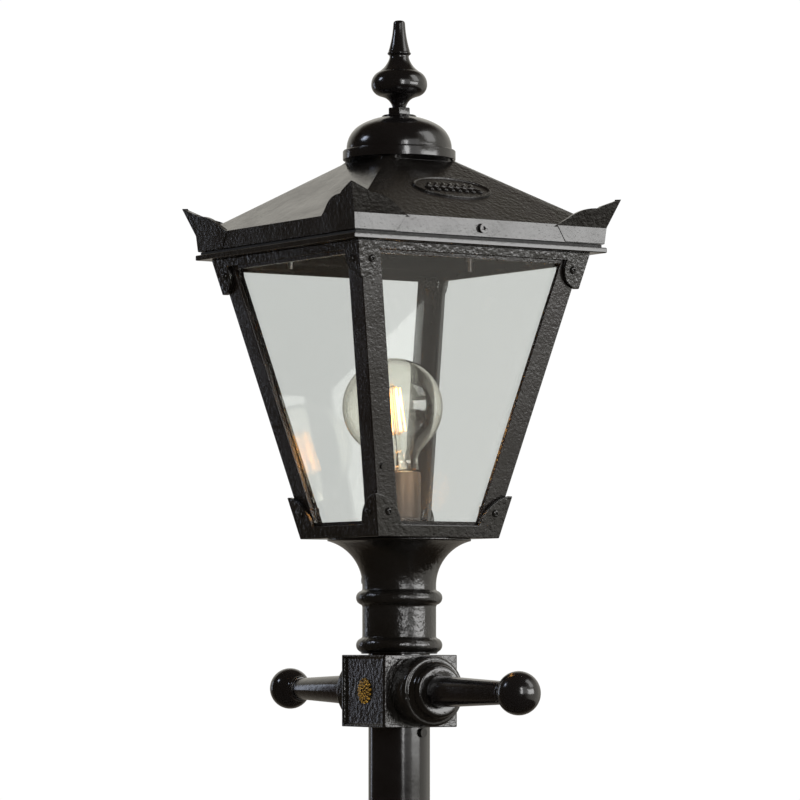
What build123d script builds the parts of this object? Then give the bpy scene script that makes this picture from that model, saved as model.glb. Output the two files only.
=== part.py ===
from build123d import *
from math import radians, sin, sqrt, tan
import os

os.makedirs("parts", exist_ok=True)

# A street lamp post, in millimetres. The origin is the middle of the foot on the ground, +Z is up.
# The ladder arms lie along X, the access door faces -Y and the lantern roof is hinged on the -X side.

# ---- Driving dimensions -------------------------------------------------------------------------

# Pedestal
flange_size = 260.0  # square foot flange
flange_thick = 14.0
anchor_spacing = 200.0
anchor_hole_r = 7.0  # for M12 anchors
plinth_size = 170.0
plinth_height = 330.0
plinth_wall = 8.0
shoulder_height = 42.0  # square plinth to round collar
collar_height = 88.0
collar_swell = 12.0  # how far the collar's foot spreads
flange_corner = 18.0
plinth_corner = 6.0
collar_wall = 12.0
socket_floor = 22.0  # from the top of the plinth to the ledge that the post stands on
duct_r = 55.0  # cable way through the foot

# Access door
door_width = 124.0
door_height = 234.0
door_thick = 6.0
door_middle = 180.0  # height of the door's middle
door_lap = 10.0  # how far the door covers the wall around its opening
gasket_thick = 1.6
hinge_pin_r = 2.5
knuckle_r = 5.5
knuckle_length = 16.0
hinge_inset = 42.0  # from the door's ends to its hinges
lock_r = 9.0
lock_spindle_r = 5.0
lock_cam_length = 22.0
lock_cam_width = 10.0
lock_cam_thick = 3.0
lock_key_r = 3.4  # three-sided key hole

# Terminal box
box_width = 80.0
box_height = 100.0
box_depth = 38.0
box_wall = 2.5
box_board_thick = 3.0
board_width = 100.0
board_height = 210.0
board_stand_off = 16.0  # from the plinth's back wall to the board

# Post
post_d = 60.0
post_wall = 3.0
ladder_bottom = 1550.0  # height of the ladder block's underside
slip_fit = 0.2  # radial gap between the post and the castings around it

# Ladder block and arms
ladder_turn = -2.5  # degrees: the block is clamped a little askew to the lantern
block_size = 83.0
block_height = 70.0
block_border = 4.5
block_recess = 1.5
block_edge = 3.0
drum_r = 34.0
drum_length = 24.0
hub_r = 25.6
hub_reach = 36.5  # from the block to the hub's end face
bar_root_r = 15.3
bar_tip_r = 10.9
stud_r = 8.0
ball_r = 20.7
ball_reach = 217.0  # from the post's axis to the ball's middle
ball_collar_r = 12.5
ball_collar_length = 5.0
ball_spigot_r = 5.0
ball_spigot_length = 14.0
rosette_r = 12.5
rosette_depth = 4.0
rosette_pin_r = 2.5
rosette_pin_length = 6.0

# Neck
neck_gap = 1.0  # shadow gap above the ladder block
neck_height = 112.0
neck_r = 36.0
neck_bead_r = 42.2
neck_bead_height = 14.0
upper_bead_drop = 57.4  # from the lantern's underside to the middle of the bead
lower_bead_drop = 103.6
neck_top_r = 70.0
neck_flare_r = 46.0
neck_socket_depth = 88.0
neck_screw_drop = 40.0
cable_hole_r = 24.0
neck_mouth_r = 40.0
tray_bolt_circle_r = 50.0
tray_bolt_depth = 7.0

# Lantern body: every side leans out by `lean` for each millimetre of height
lean = 0.23
tray_half = 70.1
tray_floor = 6.0
tray_wall_height = 12.0
ring_wall = 4.7
ear_reach = 28.0
lower_ear_tip = 40.8
bar_leg = 23.0
bar_thick = 5.0
bar_edge = 1.1
glass_thick = 4.0
glass_lap = 4.8  # how far a pane reaches behind a corner bar's leg
rail_height = 9.5
upper_rail_height = 5.7
upper_ear_tip = 240.5
upper_ear_reach = 24.4
top_ring_sill = 267.0
top_ring_lip = 5.0
top_ring_lip_width = 15.0
plate_bottom = 274.7
plate_size = 290.0
plate_thick = 5.2
plate_opening = 216.0
upstand_size = 252.0
upstand_wall = 4.0
upstand_height = 13.0
ear_screw_inset = 14.0  # from a corner's edge
lower_screw_height = 24.0
upper_screw_height = 258.0
earth_screw_height = 66.6
clip_length = 8.0
clip_foot = 10.0
clip_tongue = 18.0
clip_thick = 1.5

# Roof
apron_gap = 3.1  # between the plate and the apron
apron_half = 142.5
eaves_half = 144.0
apron_height = 16.5
apron_wall = 6.0
roof_pitch = 32.8  # degrees
roof_thick = 5.0
crown_r = 52.0
crown_height = 368.6  # round seat of the dome, above the lantern's underside
hip_rounding_height = 345.0  # the hips are sharp below this and rounded above it
horn_tip_half = 154.4
horn_height = 26.5  # above the eaves
horn_wall = 5.0
badge_length = 88.0
badge_width = 42.0
badge_rise = 63.0  # up the slope from the eaves
badge_proud = 1.8
vent_r = 44.0
vent_wall = 4.0
vent_height = 7.5
roof_knuckle_r = 4.5
roof_pin_r = 2.0
roof_hinge_height = 300.0  # above the lantern's underside
roof_hinge_width = 80.0
roof_lug_width = 8.0
lock_screw_height = 290.8
lock_screw_r = 2.5

# Dome and finial
dome_rim_r = 55.0
dome_rim_height = 9.4
dome_base_r = 51.3
dome_shoulder_r = 26.3
dome_crown_r = 66.0
dome_rise = 42.0
dome_thick = 3.0
dome_top_r = 17.0
washer_thick = 2.0
rod_r = 5.0
nut_across = 20.5
nut_thick = 7.0
finial_r = 27.3
finial_height = 85.2
finial_tip_r = 3.0

# Lamp
holder_r = 20.0
holder_foot = 14.0
holder_top = 65.3
cap_r = 13.0
cap_length = 26.0
cap_gap = 0.4
globe_r = 48.0
globe_middle = 129.0
bulb_neck_r = 18.3
bulb_wall = 0.9
filament_foot = 105.0
filament_length = 42.0
filament_cage_r = 9.0
filament_count = 6

# Fasteners
m4_r = 2.0
m5_r = 2.5
m6_r = 3.0
m8_r = 4.0
m10_r = 5.0
running_gap = 0.05  # radial, for what turns
thread_gap = 0.02  # radial, for what is screwed or pressed home
rub_gap = 0.4  # between faces that swing past each other

# ---- Levels worked out from them ----------------------------------------------------------------

post_r = post_d / 2
foot_ledge = plinth_height + socket_floor
collar_base = plinth_height + shoulder_height
pedestal_top = collar_base + collar_height
block_half = block_size / 2
arm_height = ladder_bottom + block_height / 2
neck_bottom = ladder_bottom + block_height + neck_gap
lantern = neck_bottom + neck_height  # underside of the lantern
post_top = neck_bottom + neck_socket_depth
bar_top = plate_bottom - top_ring_lip
plate_top = plate_bottom + plate_thick
apron_bottom = plate_top + apron_gap
eaves = apron_bottom + apron_height
pitch_run = 1 / tan(radians(roof_pitch))
roof_hinge_x = -(plate_size / 2 + 5.0)
dome_top = crown_height + dome_rise
nut_bottom = dome_top + washer_thick + thread_gap
finial_bottom = nut_bottom + nut_thick + thread_gap


def ring_half(height):
    """Half the outside width of the lantern's rings, at a height above its underside."""
    return tray_half + lean * height


def roof_half(height):
    """Half the width across the roof's slopes, at a height above the lantern's underside."""
    return eaves_half - (height - eaves) * pitch_run


def upright(height):
    """A plane facing -Y for turned outlines: its x is the radius, its y the height above `height`."""
    return Plane(origin=(0, 0, height), x_dir=(1, 0, 0), z_dir=(0, -1, 0))


def radial_seat(radius, height, turn):
    """A place on a round wall, with its Z axis pointing straight out."""
    seat = Plane(origin=(radius, 0, height), x_dir=(0, 1, 0), z_dir=(1, 0, 0))
    return Rotation(0, 0, turn) * seat.location


def face_seat(inset, height, turn=0, depth=0):
    """A place on a leaning lantern face, `inset` from the corner's edge, with Z pointing straight out."""
    half = ring_half(height) - depth
    across = inset - ring_half(height)
    seat = Plane(origin=(half, across, lantern + height), x_dir=(0, 1, 0), z_dir=(1, 0, -lean))
    return Rotation(0, 0, turn) * seat.location


def ear_seats(height, depth=0):
    """Seats of the eight ear screws at a height: one on each leg of each corner."""
    near = [face_seat(ear_screw_inset, height, turn, depth) for turn in (0, 90, 180, 270)]
    far_inset = 2 * ring_half(height) - ear_screw_inset
    return near + [face_seat(far_inset, height, turn, depth) for turn in (0, 90, 180, 270)]


def square_frustum(low_half, low, high_half, high, corner):
    """A square tapered block between two heights above the lantern's underside."""
    with BuildPart() as block:
        with BuildSketch(Plane.XY.offset(lantern + low)):
            RectangleRounded(2 * low_half, 2 * low_half, corner)
        with BuildSketch(Plane.XY.offset(lantern + high)):
            RectangleRounded(2 * high_half, 2 * high_half, corner)
        loft(ruled=True)
    return block.part


def leaning_slab(inner, outer, end, low, high):
    """A slab in the +X side. `inner` and `outer` are depths behind the rings' outer face, `end` is
    how far the slab stops short of the corner's edge."""
    with BuildPart() as slab:
        for height in (low, high):
            face = ring_half(height)
            with BuildSketch(Plane.XY.offset(lantern + height)):
                with Locations((face - (inner + outer) / 2, 0)):
                    Rectangle(inner - outer, 2 * (face - end))
        loft(ruled=True)
    return slab.part


def ear_window(sill, tip, reach, beyond):
    """What is cut from a ring between its two ears: `sill` is the rail's edge and `tip` the ears' ends."""
    middle = sill + (tip - sill) * 0.71
    with BuildSketch() as window:
        with BuildLine():
            Line((0, sill), (ring_half(sill) - reach, sill))
            ThreePointArc(
                (ring_half(sill) - reach, sill),
                (ring_half(middle) - reach * 0.71, middle),
                (ring_half(tip) - reach * 0.12, tip),
            )
            Polyline((ring_half(tip) - reach * 0.12, tip), (ring_half(tip) - reach * 0.12, beyond),
                     (0, beyond), (0, sill))
        make_face()
        mirror(about=Plane.YZ)
    return window.sketch


# ---- Pedestal -----------------------------------------------------------------------------------

opening_width = door_width - 2 * door_lap
opening_height = door_height - 2 * door_lap
front_face = -plinth_size / 2
inner_face = plinth_size / 2 - plinth_wall
collar_r = post_r + collar_wall
door_back = front_face - gasket_thick - rub_gap
hinge_x = -(door_width / 2 + knuckle_r + 2.5)
hinge_y = door_back - door_thick
hinge_levels = (
    door_middle - door_height / 2 + hinge_inset,
    door_middle + door_height / 2 - hinge_inset,
)
foot_screw_seats = [radial_seat(post_r, pedestal_top - 30, turn) for turn in (90, 210, 330)]
board_front = inner_face - board_stand_off - box_board_thick
board_screw_places = [
    (x, z) for x in (-board_width / 2 + 10, board_width / 2 - 10)
    for z in (door_middle - board_height / 2 + 12, door_middle + board_height / 2 - 12)
]

# Cast pedestal: foot flange, hollow square plinth with a door opening, round collar for the post.
with BuildPart() as base_pedestal:
    with BuildSketch():
        RectangleRounded(flange_size, flange_size, flange_corner)
    extrude(amount=flange_thick)
    with BuildSketch():
        RectangleRounded(plinth_size, plinth_size, plinth_corner)
    extrude(amount=plinth_height)
    with BuildSketch(Plane.XY.offset(plinth_height)):
        RectangleRounded(plinth_size - 14, plinth_size - 14, 20)
    with BuildSketch(Plane.XY.offset(collar_base)):
        Circle(collar_r + collar_swell)
    loft()
    with BuildSketch(Plane.XZ):
        with BuildLine():
            Polyline((collar_r + collar_swell, collar_base), (0, collar_base), (0, pedestal_top),
                     (collar_r, pedestal_top), (collar_r, pedestal_top - 4))
            ThreePointArc((collar_r, pedestal_top - 4), (collar_r + 6, pedestal_top - 10),
                          (collar_r, pedestal_top - 16))
            Line((collar_r, pedestal_top - 16), (collar_r, collar_base + 34))
            ThreePointArc((collar_r, collar_base + 34), (collar_r + 3, collar_base + 22),
                          (collar_r + 10, collar_base + 14))
            ThreePointArc((collar_r + 10, collar_base + 14), (collar_r + 17, collar_base + 7),
                          (collar_r + collar_swell, collar_base))
        make_face()
    revolve(axis=Axis.Z)
    # hollow plinth, cable way, ledge and socket
    with BuildSketch(Plane.XY.offset(flange_thick)):
        Rectangle(2 * inner_face, 2 * inner_face)
    extrude(amount=plinth_height - flange_thick - plinth_wall, mode=Mode.SUBTRACT)
    with BuildSketch():
        Circle(duct_r)
    extrude(amount=flange_thick, mode=Mode.SUBTRACT)
    with BuildSketch(Plane.XY.offset(plinth_height - plinth_wall)):
        Circle(cable_hole_r)
    extrude(amount=foot_ledge - plinth_height + plinth_wall, mode=Mode.SUBTRACT)
    with BuildSketch(Plane.XY.offset(foot_ledge)):
        Circle(post_r + slip_fit)
    extrude(amount=pedestal_top - foot_ledge, mode=Mode.SUBTRACT)
    # door opening and hinge lugs
    with BuildSketch(upright(door_middle).offset(-front_face)):
        RectangleRounded(opening_width, opening_height, 8)
    extrude(amount=-plinth_wall, mode=Mode.SUBTRACT)
    for level in hinge_levels:
        with BuildSketch(Plane.XY.offset(level - knuckle_length)):
            with Locations((hinge_x, hinge_y)):
                Circle(knuckle_r)
                Rectangle(2 * knuckle_r, front_face + 2 - hinge_y, align=(Align.CENTER, Align.MIN))
                Circle(hinge_pin_r + thread_gap, mode=Mode.SUBTRACT)
        extrude(amount=knuckle_length)
    # bosses for the terminal board, with their screw holes
    for x, z in board_screw_places:
        with Locations(Location((x, inner_face + 1, z), (90, 0, 0))):
            Cylinder(6, board_stand_off + 1, align=(Align.CENTER, Align.CENTER, Align.MIN))
            Cylinder(m5_r + thread_gap, board_stand_off + 1,
                     align=(Align.CENTER, Align.CENTER, Align.MIN), mode=Mode.SUBTRACT)
    # anchor holes and set-screw holes
    with Locations((0, 0, flange_thick)):
        with GridLocations(anchor_spacing, anchor_spacing, 2, 2):
            Hole(anchor_hole_r, depth=flange_thick)
    with Locations(foot_screw_seats):
        Cylinder(m10_r + thread_gap, collar_wall + 3,
                 align=(Align.CENTER, Align.CENTER, Align.MIN), mode=Mode.SUBTRACT)
base_pedestal.part.label = "base_pedestal"
export_step(base_pedestal.part, "parts/base_pedestal.step")

# Three socket-head grub screws that clamp the post in the collar.
with BuildPart() as foot_set_screws:
    with Locations(foot_screw_seats):
        Cylinder(m10_r, collar_wall - 1, align=(Align.CENTER, Align.CENTER, Align.MIN))
    socket_seats = [radial_seat(post_r + collar_wall - 1, pedestal_top - 30, turn)
                    for turn in (90, 210, 330)]
    for seat in socket_seats:
        with BuildSketch(Plane(seat)):
            RegularPolygon(2.5, 6, major_radius=False)
        extrude(amount=-5, mode=Mode.SUBTRACT)
foot_set_screws.part.label = "foot_set_screws"
export_step(foot_set_screws.part, "parts/foot_set_screws.step")

# ---- Access door --------------------------------------------------------------------------------

lock_x = opening_width / 2 - lock_r - 3

# Door plate with a raised field and two knuckles.
with BuildPart() as access_door:
    with BuildSketch(upright(door_middle).offset(-door_back)):
        RectangleRounded(door_width, door_height, 5)
    extrude(amount=door_thick)
    with BuildSketch(upright(door_middle).offset(-hinge_y)):
        RectangleRounded(door_width - 26, door_height - 26, 8)
    extrude(amount=2, taper=30)
    for level in hinge_levels:
        with BuildSketch(Plane.XY.offset(level + rub_gap)):
            with Locations((hinge_x, hinge_y)):
                Circle(knuckle_r)
                Rectangle(knuckle_r + 6, door_thick, align=(Align.MIN, Align.MIN))
                Circle(hinge_pin_r + running_gap, mode=Mode.SUBTRACT)
        extrude(amount=knuckle_length)
    with Locations(Location((lock_x, hinge_y - 3, door_middle), (-90, 0, 0))):
        Cylinder(lock_r + thread_gap, door_thick + 6, align=(Align.CENTER, Align.CENTER, Align.MIN),
                 mode=Mode.SUBTRACT)
access_door.part.label = "access_door"
export_step(access_door.part, "parts/access_door.step")

# Flat rubber frame glued to the plinth around the opening.
with BuildPart() as door_gasket:
    with BuildSketch(upright(door_middle).offset(-front_face)):
        RectangleRounded(door_width - 4, door_height - 4, 5)
        RectangleRounded(opening_width + 2, opening_height + 2, 8, mode=Mode.SUBTRACT)
    extrude(amount=gasket_thick)
door_gasket.part.label = "door_gasket"
export_step(door_gasket.part, "parts/door_gasket.step")

# Two headed pins, pressed into the plinth's lugs.
with BuildPart() as door_hinge_pins:
    for level in hinge_levels:
        with Locations((hinge_x, hinge_y, level - knuckle_length)):
            Cylinder(hinge_pin_r, 2 * knuckle_length + 3 * rub_gap,
                     align=(Align.CENTER, Align.CENTER, Align.MIN))
        with Locations((hinge_x, hinge_y, level + knuckle_length + 2 * rub_gap)):
            Cylinder(4, 2, align=(Align.CENTER, Align.CENTER, Align.MIN))
door_hinge_pins.part.label = "door_hinge_pins"
export_step(door_hinge_pins.part, "parts/door_hinge_pins.step")

# Lock: a barrel fixed in the door and a turning spindle whose cam catches behind the wall.
barrel_end = front_face + plinth_wall + 1  # just inside the wall, so that the cam clears it
with BuildPart() as lock_barrel:
    with Locations(Location((lock_x, barrel_end, door_middle), (90, 0, 0))):
        Cylinder(lock_r, barrel_end - hinge_y + 2, align=(Align.CENTER, Align.CENTER, Align.MIN))
    with Locations(Location((lock_x, hinge_y - 2, door_middle), (90, 0, 0))):
        Cylinder(lock_r + 3, 2, align=(Align.CENTER, Align.CENTER, Align.MIN))
        Cylinder(lock_spindle_r + running_gap, 80, mode=Mode.SUBTRACT)
lock_barrel.part.label = "lock_barrel"
export_step(lock_barrel.part, "parts/lock_barrel.step")

spindle_back = barrel_end + rub_gap + lock_cam_thick
with BuildPart() as lock_spindle:
    with Locations(Location((lock_x, spindle_back, door_middle), (90, 0, 0))):
        Cylinder(lock_spindle_r, spindle_back - hinge_y + 2, align=(Align.CENTER, Align.CENTER, Align.MIN))
    with BuildSketch(upright(door_middle).offset(2 - hinge_y)):
        with Locations((lock_x, 0)):
            RegularPolygon(lock_key_r, 3)
    extrude(amount=-8, mode=Mode.SUBTRACT)
lock_spindle.part.label = "lock_spindle"
export_step(lock_spindle.part, "parts/lock_spindle.step")

with BuildPart() as lock_cam:
    with BuildSketch(Plane((lock_x, barrel_end + rub_gap, door_middle), x_dir=(1, 0, 0), z_dir=(0, 1, 0))):
        Circle(lock_spindle_r + 3)
        Rectangle(lock_cam_width, lock_cam_length, align=(Align.CENTER, Align.MAX))
        Circle(lock_spindle_r, mode=Mode.SUBTRACT)
    extrude(amount=lock_cam_thick)
lock_cam.part.label = "lock_cam"
export_step(lock_cam.part, "parts/lock_cam.step")

# ---- Terminal board, box and glands -------------------------------------------------------------

board_plane = Plane((0, board_front, door_middle), x_dir=(1, 0, 0), z_dir=(0, -1, 0))
with BuildPart() as terminal_board:
    with BuildSketch(board_plane):
        RectangleRounded(board_width, board_height, 4)
    extrude(amount=-box_board_thick)
    for x, z in board_screw_places:
        with Locations(Location((x, board_front, z), (90, 0, 0))):
            Cylinder(m5_r + thread_gap, 3 * box_board_thick, mode=Mode.SUBTRACT)
terminal_board.part.label = "terminal_board"
export_step(terminal_board.part, "parts/terminal_board.step")

with BuildPart() as board_screws:
    for x, z in board_screw_places:
        with Locations(Location((x, board_front, z), (90, 0, 0))):
            Cylinder(4.5, 3, align=(Align.CENTER, Align.CENTER, Align.MIN))
            Cylinder(m5_r, 14, align=(Align.CENTER, Align.CENTER, Align.MAX))
board_screws.part.label = "board_screws"
export_step(board_screws.part, "parts/board_screws.step")

box_mouth = board_front - box_depth
gland_x = box_width / 4
with BuildPart() as terminal_box:
    with BuildSketch(board_plane):
        RectangleRounded(box_width, box_height, 5)
    extrude(amount=box_depth)
    with BuildSketch(board_plane.offset(box_wall)):
        RectangleRounded(box_width - 2 * box_wall, box_height - 2 * box_wall, 3)
    extrude(amount=box_depth, mode=Mode.SUBTRACT)
    with Locations((-gland_x, board_front - box_depth / 2, door_middle - box_height / 2),
                   (gland_x, board_front - box_depth / 2, door_middle - box_height / 2)):
        Cylinder(8 + thread_gap, 4 * box_wall, mode=Mode.SUBTRACT)
terminal_box.part.label = "terminal_box"
export_step(terminal_box.part, "parts/terminal_box.step")

with BuildPart() as terminal_box_lid:
    with BuildSketch(board_plane.offset(box_depth)):
        RectangleRounded(box_width + 2, box_height + 2, 5)
    extrude(amount=4)
    fillet(terminal_box_lid.faces().sort_by(Axis.Y)[0].edges(), radius=1.5)
terminal_box_lid.part.label = "terminal_box_lid"
export_step(terminal_box_lid.part, "parts/terminal_box_lid.step")

# Cable glands: a threaded tube through the box, a body below and a dome nut.
with BuildPart() as cable_glands:
    for x in (-gland_x, gland_x):
        with Locations((x, board_front - box_depth / 2, door_middle - box_height / 2 + 8)):
            Cylinder(8, 8, align=(Align.CENTER, Align.CENTER, Align.MAX))
        with Locations((x, board_front - box_depth / 2, door_middle - box_height / 2)):
            Cylinder(11, 6, align=(Align.CENTER, Align.CENTER, Align.MAX))
            Cone(8.5, 10, 14, align=(Align.CENTER, Align.CENTER, Align.MAX))
            Cylinder(5, 60, mode=Mode.SUBTRACT)
cable_glands.part.label = "cable_glands"
export_step(cable_glands.part, "parts/cable_glands.step")

# ---- Post ---------------------------------------------------------------------------------------

stop_screw_level = ladder_bottom - 5.5
stop_screw_seats = [radial_seat(post_r, stop_screw_level, turn) for turn in (13, 193)]

with BuildPart() as post_tube:
    with BuildSketch(Plane.XY.offset(foot_ledge)):
        Circle(post_r)
        Circle(post_r - post_wall, mode=Mode.SUBTRACT)
    extrude(amount=post_top - foot_ledge)
    with Locations(stop_screw_seats):
        Cylinder(m6_r + thread_gap, 4 * post_wall, mode=Mode.SUBTRACT)
post_tube.part.label = "post_tube"
export_step(post_tube.part, "parts/post_tube.step")

# Button-head screws that the ladder block rests on.
with BuildPart() as post_stop_screws:
    with Locations(stop_screw_seats):
        Cylinder(4.4, 3.2, align=(Align.CENTER, Align.CENTER, Align.MIN))
        Cylinder(m6_r, 9, align=(Align.CENTER, Align.CENTER, Align.MAX))
post_stop_screws.part.label = "post_stop_screws"
export_step(post_stop_screws.part, "parts/post_stop_screws.step")

# ---- Ladder block, arms and rosettes ------------------------------------------------------------

with BuildPart() as ladder_block:
    with Locations((0, 0, arm_height)):
        Box(block_size, block_size, block_height)
    fillet(ladder_block.edges(), radius=block_edge)
    for facing in (-1, 1):
        panel = Plane((0, facing * block_half, arm_height), x_dir=(1, 0, 0), z_dir=(0, facing, 0))
        with BuildSketch(panel):
            RectangleRounded(block_size - 2 * block_border, block_height - 2 * block_border, 2)
        extrude(amount=-block_recess, mode=Mode.SUBTRACT)
    with Locations((0, 0, arm_height)):
        Cylinder(post_r + slip_fit, 2 * block_height, mode=Mode.SUBTRACT)
    with Locations(Location((0, 0, arm_height), (0, 90, 0))):
        Cylinder(stud_r + thread_gap, 2 * block_size, mode=Mode.SUBTRACT)
    for facing in (-1, 1):
        with Locations(Location((0, facing * (block_half - block_recess), arm_height), (90, 0, 0))):
            Cylinder(rosette_pin_r + thread_gap, 2 * rosette_pin_length + 1, mode=Mode.SUBTRACT)
turned_block = ladder_block.part.rotate(Axis.Z, ladder_turn)
turned_block.label = "ladder_block"
export_step(turned_block, "parts/ladder_block.step")

arm_axis = Axis((0, 0, arm_height), (1, 0, 0))
hub_end = block_half + hub_reach
drum_end = block_half + drum_length
bar_end = ball_reach - sqrt(ball_r**2 - ball_collar_r**2) - ball_collar_length - 1

# Drum flange: a turned drum against the block, hollowed in to a round hub.
with BuildPart() as ladder_flange:
    with BuildSketch(upright(arm_height)):
        with BuildLine():
            Polyline((hub_end, stud_r + running_gap), (block_half, stud_r + running_gap),
                     (block_half, drum_r), (drum_end - 2.5, drum_r))
            ThreePointArc((drum_end - 2.5, drum_r), (drum_end - 0.7, drum_r - 0.7),
                          (drum_end, drum_r - 2.5))
            ThreePointArc((drum_end, drum_r - 2.5), (drum_end + 3.4, hub_r + 2.2),
                          (hub_end - 4, hub_r))
            ThreePointArc((hub_end - 4, hub_r), (hub_end - 1.2, hub_r - 1.2), (hub_end, hub_r - 4))
            Line((hub_end, hub_r - 4), (hub_end, stud_r + running_gap))
        make_face()
    revolve(axis=arm_axis)

# Tapered bar with a long stud that screws through the flange and the block on to the post.
with BuildPart() as ladder_bar:
    with BuildSketch(upright(arm_height)):
        with BuildLine():
            Polyline((post_r + thread_gap, 0), (post_r + thread_gap, stud_r), (hub_end, stud_r),
                     (hub_end, bar_root_r), (bar_end, bar_tip_r), (bar_end, ball_spigot_r),
                     (bar_end + ball_spigot_length, ball_spigot_r), (bar_end + ball_spigot_length, 0),
                     close=True)
        make_face()
    revolve(axis=arm_axis)

# Ball end with a collar, bored for the bar's spigot.
with BuildPart() as ladder_ball:
    collar_end = bar_end + ball_collar_length
    with BuildSketch(upright(arm_height)):
        with BuildLine():
            Line((bar_end, 0), (bar_end, ball_collar_r - 1.5))
            ThreePointArc((bar_end, ball_collar_r - 1.5), (bar_end + ball_collar_length / 2, ball_collar_r),
                          (collar_end, ball_collar_r - 1))
            sphere = CenterArc((ball_reach, 0), ball_r, 0, 141)
            Line((collar_end, ball_collar_r - 1), sphere @ 1)
            Line((ball_reach + ball_r, 0), (bar_end, 0))
        make_face()
    revolve(axis=arm_axis)
    with Locations(Location((bar_end, 0, arm_height), (0, 90, 0))):
        Cylinder(ball_spigot_r + thread_gap, ball_spigot_length + 1,
                 align=(Align.CENTER, Align.CENTER, Align.MIN), mode=Mode.SUBTRACT)

for piece, name in ((ladder_flange, "flange"), (ladder_bar, "bar"), (ladder_ball, "ball")):
    right = piece.part.rotate(Axis.Z, ladder_turn)
    right.label = f"ladder_{name}_right"
    export_step(right, f"parts/ladder_{name}_right.step")
    left = piece.part.mirror(Plane.YZ).rotate(Axis.Z, ladder_turn)
    left.label = f"ladder_{name}_left"
    export_step(left, f"parts/ladder_{name}_left.step")

# Cast rosette with a pin behind it, seated in the block's recessed face.
with BuildPart() as rosette:
    seat = block_half - block_recess
    with BuildSketch(Plane.XY.offset(arm_height)):
        with BuildLine():
            Polyline((0, seat - rosette_pin_length), (rosette_pin_r, seat - rosette_pin_length),
                     (rosette_pin_r, seat), (rosette_r, seat), (rosette_r, seat + 1),
                     (rosette_r * 0.6, seat + rosette_depth), (0, seat + rosette_depth), close=True)
        make_face()
    revolve(axis=Axis((0, 0, arm_height), (0, 1, 0)))
for turn, name in ((180, "front"), (0, "back")):
    copy = rosette.part.rotate(Axis.Z, turn + ladder_turn)
    copy.label = f"rosette_{name}"
    export_step(copy, f"parts/rosette_{name}.step")

# ---- Neck ---------------------------------------------------------------------------------------

neck_screw_seats = [radial_seat(post_r, lantern - neck_screw_drop, turn) for turn in (-135, 135)]
flare_drop = neck_flare_r * sqrt(1 - (1 - (neck_top_r - neck_r) / neck_flare_r) ** 2)
flare_start = flare_drop + 1.5  # drop at which the neck begins to flare
bead = neck_bead_height / 2

# Cast neck, turned outline: two beads on a cylinder and a wide flare under the lantern.
with BuildPart() as neck_casting:
    with BuildSketch(upright(lantern)):
        with BuildLine():
            Polyline((neck_r, -lower_bead_drop - bead), (neck_r + 2, -lower_bead_drop - bead - 0.3),
                     (neck_r + 2, -neck_height), (0, -neck_height), (0, 0), (neck_top_r, 0),
                     (neck_top_r, -1.5))
            ThreePointArc((neck_top_r, -1.5),
                          (neck_r + 0.25 * neck_flare_r, -flare_start + 0.661 * neck_flare_r),
                          (neck_r, -flare_start))
            Line((neck_r, -flare_start), (neck_r, -upper_bead_drop + bead))
            ThreePointArc((neck_r, -upper_bead_drop + bead), (neck_bead_r, -upper_bead_drop),
                          (neck_r, -upper_bead_drop - bead))
            Line((neck_r, -upper_bead_drop - bead), (neck_r, -lower_bead_drop + bead))
            ThreePointArc((neck_r, -lower_bead_drop + bead), (neck_bead_r, -lower_bead_drop),
                          (neck_r, -lower_bead_drop - bead))
        make_face()
    revolve(axis=Axis.Z)
    with BuildSketch(Plane.XY.offset(neck_bottom)):
        Circle(post_r + slip_fit)
    extrude(amount=neck_socket_depth, mode=Mode.SUBTRACT)
    with BuildSketch(Plane.XY.offset(post_top)):
        Circle(cable_hole_r)
    with BuildSketch(Plane.XY.offset(lantern)):
        Circle(neck_mouth_r)
    loft(mode=Mode.SUBTRACT)
    with Locations(neck_screw_seats):
        Cylinder(m8_r + thread_gap, 3 * (neck_r - post_r), mode=Mode.SUBTRACT)
    with Locations((0, 0, lantern)):
        with PolarLocations(tray_bolt_circle_r, 4, start_angle=45):
            Cylinder(m6_r + thread_gap, 2 * tray_bolt_depth, mode=Mode.SUBTRACT)
neck_casting.part.label = "neck_casting"
export_step(neck_casting.part, "parts/neck_casting.step")

with BuildPart() as neck_set_screws:
    with Locations(neck_screw_seats):
        Cylinder(m8_r, neck_r - post_r + 1, align=(Align.CENTER, Align.CENTER, Align.MIN))
    for turn in (-135, 135):
        with BuildSketch(Plane(radial_seat(neck_r + 1, lantern - neck_screw_drop, turn))):
            RegularPolygon(2, 6, major_radius=False)
        extrude(amount=-4, mode=Mode.SUBTRACT)
neck_set_screws.part.label = "neck_set_screws"
export_step(neck_set_screws.part, "parts/neck_set_screws.step")

# ---- Lantern tray -------------------------------------------------------------------------------

# Cast tray: a floor, a low leaning wall and a pair of rounded ears at each corner.
tray_window = ear_window(tray_wall_height, lower_ear_tip, ear_reach, lower_ear_tip + 10)
with BuildPart() as base_tray:
    add(square_frustum(tray_half, 0, ring_half(lower_ear_tip), lower_ear_tip, 2))
    add(
        square_frustum(ring_half(tray_floor) - ring_wall, tray_floor,
                       ring_half(lower_ear_tip) - ring_wall, lower_ear_tip, 1),
        mode=Mode.SUBTRACT,
    )
    for turn in (0, 90):
        with BuildSketch(Plane(upright(lantern).location * Rotation(0, turn, 0))):
            add(tray_window)
        extrude(amount=plate_size, both=True, mode=Mode.SUBTRACT)
    with Locations((0, 0, lantern)):
        Cylinder(cable_hole_r, 4 * tray_floor, mode=Mode.SUBTRACT)
        with PolarLocations(tray_bolt_circle_r, 4, start_angle=45):
            Cylinder(m6_r + 0.3, 4 * tray_floor, mode=Mode.SUBTRACT)
    with Locations(ear_seats(lower_screw_height)):
        Cylinder(m4_r + thread_gap, 4 * ring_wall, mode=Mode.SUBTRACT)
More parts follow.
